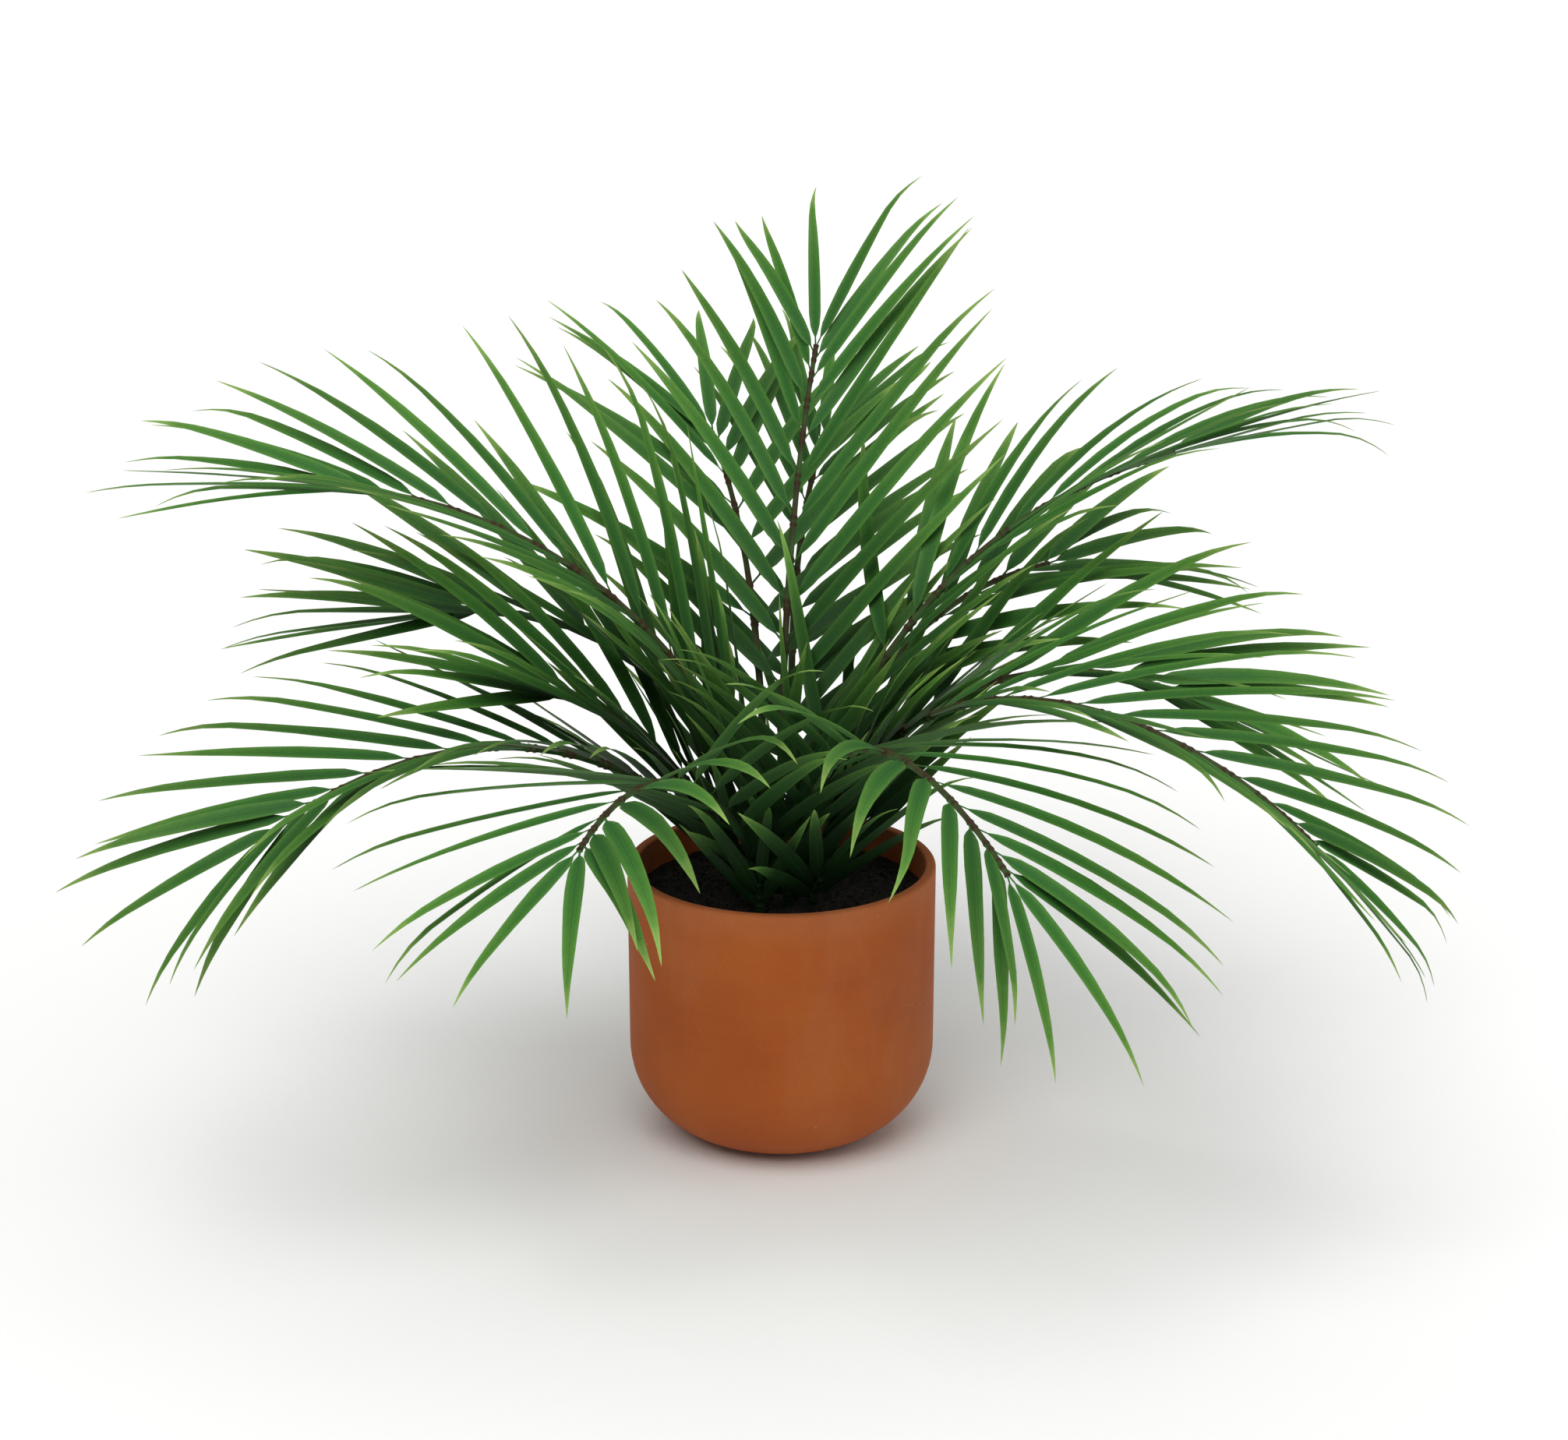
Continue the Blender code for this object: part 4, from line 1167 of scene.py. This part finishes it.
@dataclass
class PalmFrond:
    """One frond's visible pieces: its stem and all its leaflets."""

    plan: Frond
    spine: Spine
    leaves: list[Leaflet]
    shape: LeafletShape
    seed: int
    stem_sides: int = 8
    even_rings: int = 25
    least_gap: float = 0.0035
    rind: float = 0.35 * MM
    node_swell: float = 0.35
    node_reach: float = 1.6 * MM
    swell_reach: float = 1.2
    joint_brown: float = 0.42
    top_brown: float = 0.20
    root_swell: float = 0.2
    stem_edge: float = 50.0
    leaflet_edge: float = 60.0
    first_draw: int = 100

    def stem_shares(self) -> list[float]:
        """Find the rings of the stem: even steps, with three more at each leaflet's joint.

        Returns:
            The shares of the stem's length.
        """
        shares = set(np.round(np.linspace(0, 1, self.even_rings), 4))
        reach = self.node_reach / self.plan.length
        for leaf in self.leaves:
            shares |= {round(leaf.share + shift * reach, 4) for shift in (-1, 0, 1)}
        ordered = sorted(share for share in shares if 0 <= share <= 1)
        kept = [ordered[0]]
        for share in ordered[1:]:
            if share - kept[-1] > self.least_gap:
                kept.append(share)
        return kept

    def swelling(self, share: float) -> float:
        """Find how far a place on the stem lies within a joint's swelling.

        Args:
            share: The share of the stem's length.

        Returns:
            Zero outside the swellings and up to one in the middle of one.
        """
        gaps = [abs(leaf.share - share) * self.plan.length for leaf in self.leaves]
        near = min(gaps, default=1.0)
        return max(0.0, 1 - near / (self.swell_reach * self.node_reach))

    def build_stem(self) -> bpy.types.Object:
        """Make the stem: a tapering tube with a closed root and tip, swollen at the joints.

        Returns:
            The stem.
        """
        root = self.spine.points[0] - np.array([0, 0, ROOT_RISE + ROOT_DEPTH])
        rings = [(root, self.spine.upward[0], self.spine.rightward[0], STEM_RADIUS, self.root_swell)]
        for share in self.stem_shares():
            place, _, up, right = self.spine.at(share)
            swell = self.swelling(share)
            radius = (stem_radius(share) + self.rind) * (1 + self.node_swell * swell)
            rings.append((place, up, right, radius, swell))
        points, browning = [], []
        for place, up, right, radius, swell in rings:
            for side in range(self.stem_sides):
                turn = 2 * math.pi * side / self.stem_sides
                points.append(place + radius * (math.cos(turn) * right + math.sin(turn) * up))
                browning.append(self.joint_brown * swell + self.top_brown * math.sin(turn))
        faces: list[tuple[int, ...]] = []
        size = self.stem_sides
        for ring in range(len(rings) - 1):
            for corner in range(size):
                beside = (corner + 1) % size
                low, high = ring * size, (ring + 1) * size
                faces.append((low + corner, high + corner, high + beside, low + beside))
        faces.append(tuple(range(size)))
        faces.append(tuple(reversed(range(len(points) - size, len(points)))))
        stem = mesh_object(f"{self.plan.name}_stem", np.array(points), faces)
        layer = stem.data.attributes.new("browning", "FLOAT", "POINT")
        layer.data.foreach_set("value", np.array(browning, dtype=np.float32))
        face_outwards(stem)
        smooth(stem, self.stem_edge)
        return stem

    def build_leaflets(self) -> bpy.types.Object:
        """Make all the leaflets as one piece.

        Returns:
            The leaflets.
        """
        draw = np.random.default_rng(self.first_draw + self.seed)
        points, faces, places, tones = [], [], [], []
        # A frond that hangs low gets a darker tone as painted shade.
        painted_shade_tone = PAINTED_SHADE_TONE.get(self.plan.name, 1.0)
        for leaf in self.leaves:
            blade = self.shape.weathered(blade_of(self.plan, self.spine, leaf, self.shape.shares), draw)
            own_points, own_faces, own_places = self.shape.mesh(blade)
            faces += [tuple(len(places) + corner for corner in one) for one in own_faces]
            points.append(own_points)
            places += own_places
            tones += [painted_shade_tone * draw.uniform(*LEAF_TONES)] * len(own_points)
        item = mesh_object(f"{self.plan.name}_leaflets", np.vstack(points), faces)
        layer = item.data.attributes.new("leaf_tone_and_shade", "FLOAT", "POINT")
        layer.data.foreach_set("value", np.array(tones, dtype=np.float32))
        chart = item.data.uv_layers.new(name="blade")
        corners = np.array([places[loop.vertex_index] for loop in item.data.loops], dtype=np.float32)
        chart.data.foreach_set("uv", corners.ravel())
        face_outwards(item)
        smooth(item, self.leaflet_edge)
        return item


def face_outwards(item: bpy.types.Object) -> None:
    """Turn every face of a closed mesh outwards.

    Args:
        item: The object.
    """
    shape = bmesh.new()
    shape.from_mesh(item.data)
    bmesh.ops.recalc_face_normals(shape, faces=shape.faces)
    shape.to_mesh(item.data)
    shape.free()


def spun(name: str, section: list[tuple[float, float]], steps: int) -> bpy.types.Object:
    """Draw a section point by point, then spin it about the pot's axis into a closed skin.

    Args:
        name: The piece's name.
        section: Radii and heights, from the axis round to the axis again.
        steps: The number of steps round the axis.

    Returns:
        The piece.
    """
    deselect()
    radius, height = section[0]
    bpy.ops.mesh.primitive_plane_add(size=MM, location=(0, 0, 0))
    item = bpy.context.object
    item.name = item.data.name = name
    bpy.ops.object.mode_set(mode="EDIT")
    bpy.ops.mesh.select_all(action="SELECT")
    bpy.ops.mesh.merge(type="CENTER")
    bpy.ops.transform.translate(value=(radius, 0, height))
    for (r, z), (next_r, next_z) in zip(section, section[1:]):
        bpy.ops.mesh.extrude_vertices_move(TRANSFORM_OT_translate={"value": (next_r - r, 0, next_z - z)})
    bpy.ops.mesh.select_all(action="SELECT")
    bpy.ops.mesh.spin(steps=steps, angle=2 * math.pi, center=(0, 0, 0), axis=(0, 0, 1))
    bpy.ops.mesh.select_all(action="SELECT")
    bpy.ops.mesh.remove_doubles(threshold=0.01 * MM)
    bpy.ops.mesh.normals_make_consistent(inside=False)
    bpy.ops.object.mode_set(mode="OBJECT")
    return item


def arc(
    radius: float, height: float, bend: float, turn: tuple[float, float], steps: int
) -> list[tuple[float, float]]:
    """Points of an arc in a spun section.

    Args:
        radius: The distance of the arc's centre from the axis.
        height: The height of the arc's centre.
        bend: The arc's own radius.
        turn: The angles it starts and ends at, from the outward direction.
        steps: The number of straight steps.

    Returns:
        The arc's points as radii and heights.
    """
    start, end = turn
    angles = [math.radians(start + (end - start) * step / steps) for step in range(steps + 1)]
    return [(radius + bend * math.cos(a), height + bend * math.sin(a)) for a in angles]


@dataclass
class ClayPot:
    """Straight-sided pot with a wide round bottom edge, a flat foot and a softened lip."""

    diameter: float = POT_DIAMETER
    height: float = POT_HEIGHT
    wall: float = POT_WALL
    floor: float = 0.006
    taper: float = 0.0004
    corner: float = 0.046
    lip: float = 0.0018
    inner_lip: float = 0.0014
    steps: int = 128
    edge: float = 40.0

    def section(self) -> list[tuple[float, float]]:
        """Draw half the pot's section, from the middle of its inside over the lip to that of its underside.

        Returns:
            Radii and heights.
        """
        outer = self.diameter / 2
        low = outer - self.taper
        inner_corner = self.corner - self.wall
        brim = outer - self.wall + self.inner_lip
        points = [(0.0, self.floor)]
        points += arc(low - self.corner, self.floor + inner_corner, inner_corner, (-90, 0), 8)
        points += arc(brim, self.height - self.inner_lip, self.inner_lip, (180, 90), 4)
        points += arc(outer - self.lip, self.height - self.lip, self.lip, (90, 0), 6)
        points += arc(low - self.corner, self.corner, self.corner, (0, -90), 20)
        points.append((0.0, 0.0))
        return points

    def build(self, finish: bpy.types.Material) -> bpy.types.Object:
        """Spin the pot.

        Args:
            finish: The clay.

        Returns:
            The pot.
        """
        pot = spun("clay_pot", self.section(), self.steps)
        smooth(pot, self.edge)
        fit_out(pot, finish, ["pot"])
        return pot


@dataclass
class SoilBed:
    """Potting soil up to a finger below the lip: a lumpy domed surface with loose crumbs on it."""

    radius: float = POT_DIAMETER / 2 - POT_WALL - 0.3 * MM
    depth: float = 0.012
    rings: int = 80
    sides: int = 280
    clod: float = 6 * MM
    clod_height: float = 4.5 * MM
    grain: float = 1.7 * MM
    grain_height: float = 2.0 * MM
    rough_reach: float = 1.04
    rough_slope: float = 8.0
    crumbs: int = 900
    crumb: tuple[float, float] = (0.4 * MM, 1.1 * MM)
    crumb_squash: tuple[float, float] = (0.55, 1.0)
    crumb_dents: float = 0.22
    crumb_reach: float = 0.95
    crumb_rise: float = 0.5 * MM
    seed: int = 7
    edge: float = 60.0

    def build_bed(self) -> bpy.types.Object:
        """Spin the soil's upper layer, closed below, and raise its clods and grains.

        Returns:
            The bed.
        """
        radii = [self.radius * ring / self.rings for ring in range(self.rings + 1)]
        low = soil_level(self.radius, 0) - self.depth
        section = [(r, soil_level(r, 0)) for r in radii] + [(self.radius, low), (0.0, low)]
        bed = spun("potting_soil", section, self.sides)
        surface = bed.vertex_groups.new(name="surface")
        for vertex in bed.data.vertices:
            reach = math.hypot(vertex.co.x, vertex.co.y) / self.radius
            roughness = min(1.0, self.rough_slope * (self.rough_reach - reach))
            if vertex.co.z > low + 0.5 * self.depth:
                surface.add([vertex.index], roughness, "REPLACE")
        bpy.context.view_layer.objects.active = bed
        for name, size, height in (
            ("clods", self.clod, self.clod_height), ("grains", self.grain, self.grain_height)
        ):
            cloud = bpy.data.textures.new(name, "CLOUDS")
            cloud.noise_scale = size
            cloud.noise_depth = 2
            raised = bed.modifiers.new(name, "DISPLACE")
            raised.texture = cloud
            raised.texture_coords = "LOCAL"
            raised.direction = "Z"
            raised.mid_level = 0.5
            raised.strength = height
            raised.vertex_group = "surface"
            bpy.ops.object.modifier_apply(modifier=name)
        return bed

    def build_crumbs(self, draw: np.random.Generator) -> bpy.types.Object:
        """Shape one crumb, then strew turned and squashed copies of it over the bed.

        Args:
            draw: The source of the scatter.

        Returns:
            All the loose crumbs as one piece.
        """
        deselect()
        bpy.ops.mesh.primitive_ico_sphere_add(subdivisions=1, radius=1.0)
        crumb = bpy.context.object
        bpy.ops.object.mode_set(mode="EDIT")
        bpy.ops.transform.vertex_random(offset=self.crumb_dents, uniform=1.0, normal=0.0, seed=3)
        bpy.ops.object.mode_set(mode="OBJECT")
        corners = np.array([vertex.co[:] for vertex in crumb.data.vertices])
        faces = [tuple(face.vertices) for face in crumb.data.polygons]
        bpy.data.objects.remove(crumb)
        points, all_faces = [], []
        for number in range(self.crumbs):
            turn = Euler(draw.uniform(0, 2 * math.pi, 3)).to_matrix()
            size = draw.uniform(*self.crumb) * draw.uniform(*self.crumb_squash, 3)
            reach = self.crumb_reach * self.radius * math.sqrt(draw.uniform(0, 1))
            heading = draw.uniform(0, 2 * math.pi)
            x, y = reach * math.cos(heading), reach * math.sin(heading)
            middle = np.array([x, y, soil_level(x, y) + self.crumb_rise])
            points.append(corners * size @ np.array(turn).T + middle)
            all_faces += [tuple(number * len(corners) + corner for corner in face) for face in faces]
        return mesh_object("potting_soil_crumbs", np.vstack(points), all_faces)

    def build(self, finish: bpy.types.Material) -> None:
        """Build the bed and its crumbs.

        Args:
            finish: The potting mix.
        """
        for item in (self.build_bed(), self.build_crumbs(np.random.default_rng(self.seed))):
            smooth(item, self.edge)
            fit_out(item, finish, ["soil"])


# ---------------------------------------------------------------- studio


@dataclass
class Studio:
    """Pale floor, soft lights and the camera."""

    eye: tuple[float, float, float] = (0.0012, -1.7835, 0.7966)
    down: float = 18.2
    lens: float = 89.75
    sensor: float = 36.0
    floor_size: float = 60.0
    floor_gloss: tuple[float, float] = (0.9, 0.1)
    ambient: float = 0.20
    suns: tuple[tuple[str, tuple[float, float, float], float, float], ...] = (
        ("key", (-0.3, -0.95, 1.5), 2.2, 45.0),
        ("fill", (0.8, -0.5, 1.1), 0.8, 70.0),
        ("back", (0.1, 0.7, 1.6), 0.5, 60.0),
    )

    def build(self) -> None:
        """Make the floor, lights, world and camera."""
        deselect()
        bpy.ops.mesh.primitive_plane_add(size=self.floor_size, location=(0, 0, 0))
        floor = bpy.context.object
        floor.name = "studio_floor"
        made, _, shader = start_material("studio_floor_paper")
        shader.inputs["Base Color"].default_value = linear(Hue.FLOOR)
        shader.inputs["Roughness"].default_value = self.floor_gloss[0]
        shader.inputs["Specular IOR Level"].default_value = self.floor_gloss[1]
        floor.data.materials.append(made)
        for name, place, strength, spread in self.suns:
            lamp = bpy.data.lights.new(name, "SUN")
            lamp.energy = strength
            lamp.angle = math.radians(spread)
            item = bpy.data.objects.new(name, lamp)
            item.rotation_euler = (-Vector(place)).to_track_quat("-Z", "Y").to_euler()
            bpy.context.scene.collection.objects.link(item)
        world = bpy.data.worlds.new("studio")
        world.use_nodes = True
        ambient = world.node_tree.nodes["Background"]
        ambient.inputs["Color"].default_value = (1, 1, 1, 1)
        # Beyond the floor's far edge the studio looks as pale as the floor, though it lights the plant less.
        seen = add_node(world.node_tree, "LightPath").outputs["Is Camera Ray"]
        power = add_node(world.node_tree, "MapRange", links={
            "Value": seen, "From Min": 0.0, "From Max": 1.0, "To Min": self.ambient, "To Max": 1.0})
        world.node_tree.links.new(power.outputs[0], ambient.inputs["Strength"])
        bpy.context.scene.world = world
        view = bpy.data.cameras.new("camera")
        view.lens = self.lens
        view.sensor_width = self.sensor
        camera = bpy.data.objects.new("camera", view)
        camera.location = self.eye
        camera.rotation_euler = (math.radians(90 - self.down), 0, 0)
        bpy.context.scene.collection.objects.link(camera)
        bpy.context.scene.camera = camera
        bpy.context.scene.view_settings.view_transform = "Standard"
        LOG.info("studio ready")


def main() -> None:
    """Build the pot, the soil, every frond and the studio."""
    logging.basicConfig(level=logging.INFO, format="%(message)s")
    ClayPot().build(Terracotta().dress())
    SoilBed().build(PottingMix().dress())
    blade_skin, rind = PalmLeaf().dress(), PalmStem().dress()
    spines, leaves = grow()
    for seed, plan in enumerate(FRONDS):
        grown, sought = len(leaves[plan.name]), len(leaflets_of(plan, seed))
        LOG.info("%s: %d of %d leaflets found room", plan.name, grown, sought)
        shape = LeafletShape(slimness=SLIMNESS.get(plan.name, 1.0))
        frond = PalmFrond(plan, spines[plan.name], leaves[plan.name], shape, seed)
        fit_out(frond.build_stem(), rind, [plan.name])
        fit_out(frond.build_leaflets(), blade_skin, [plan.name])
    Studio().build()


if __name__ == "__main__":
    main()
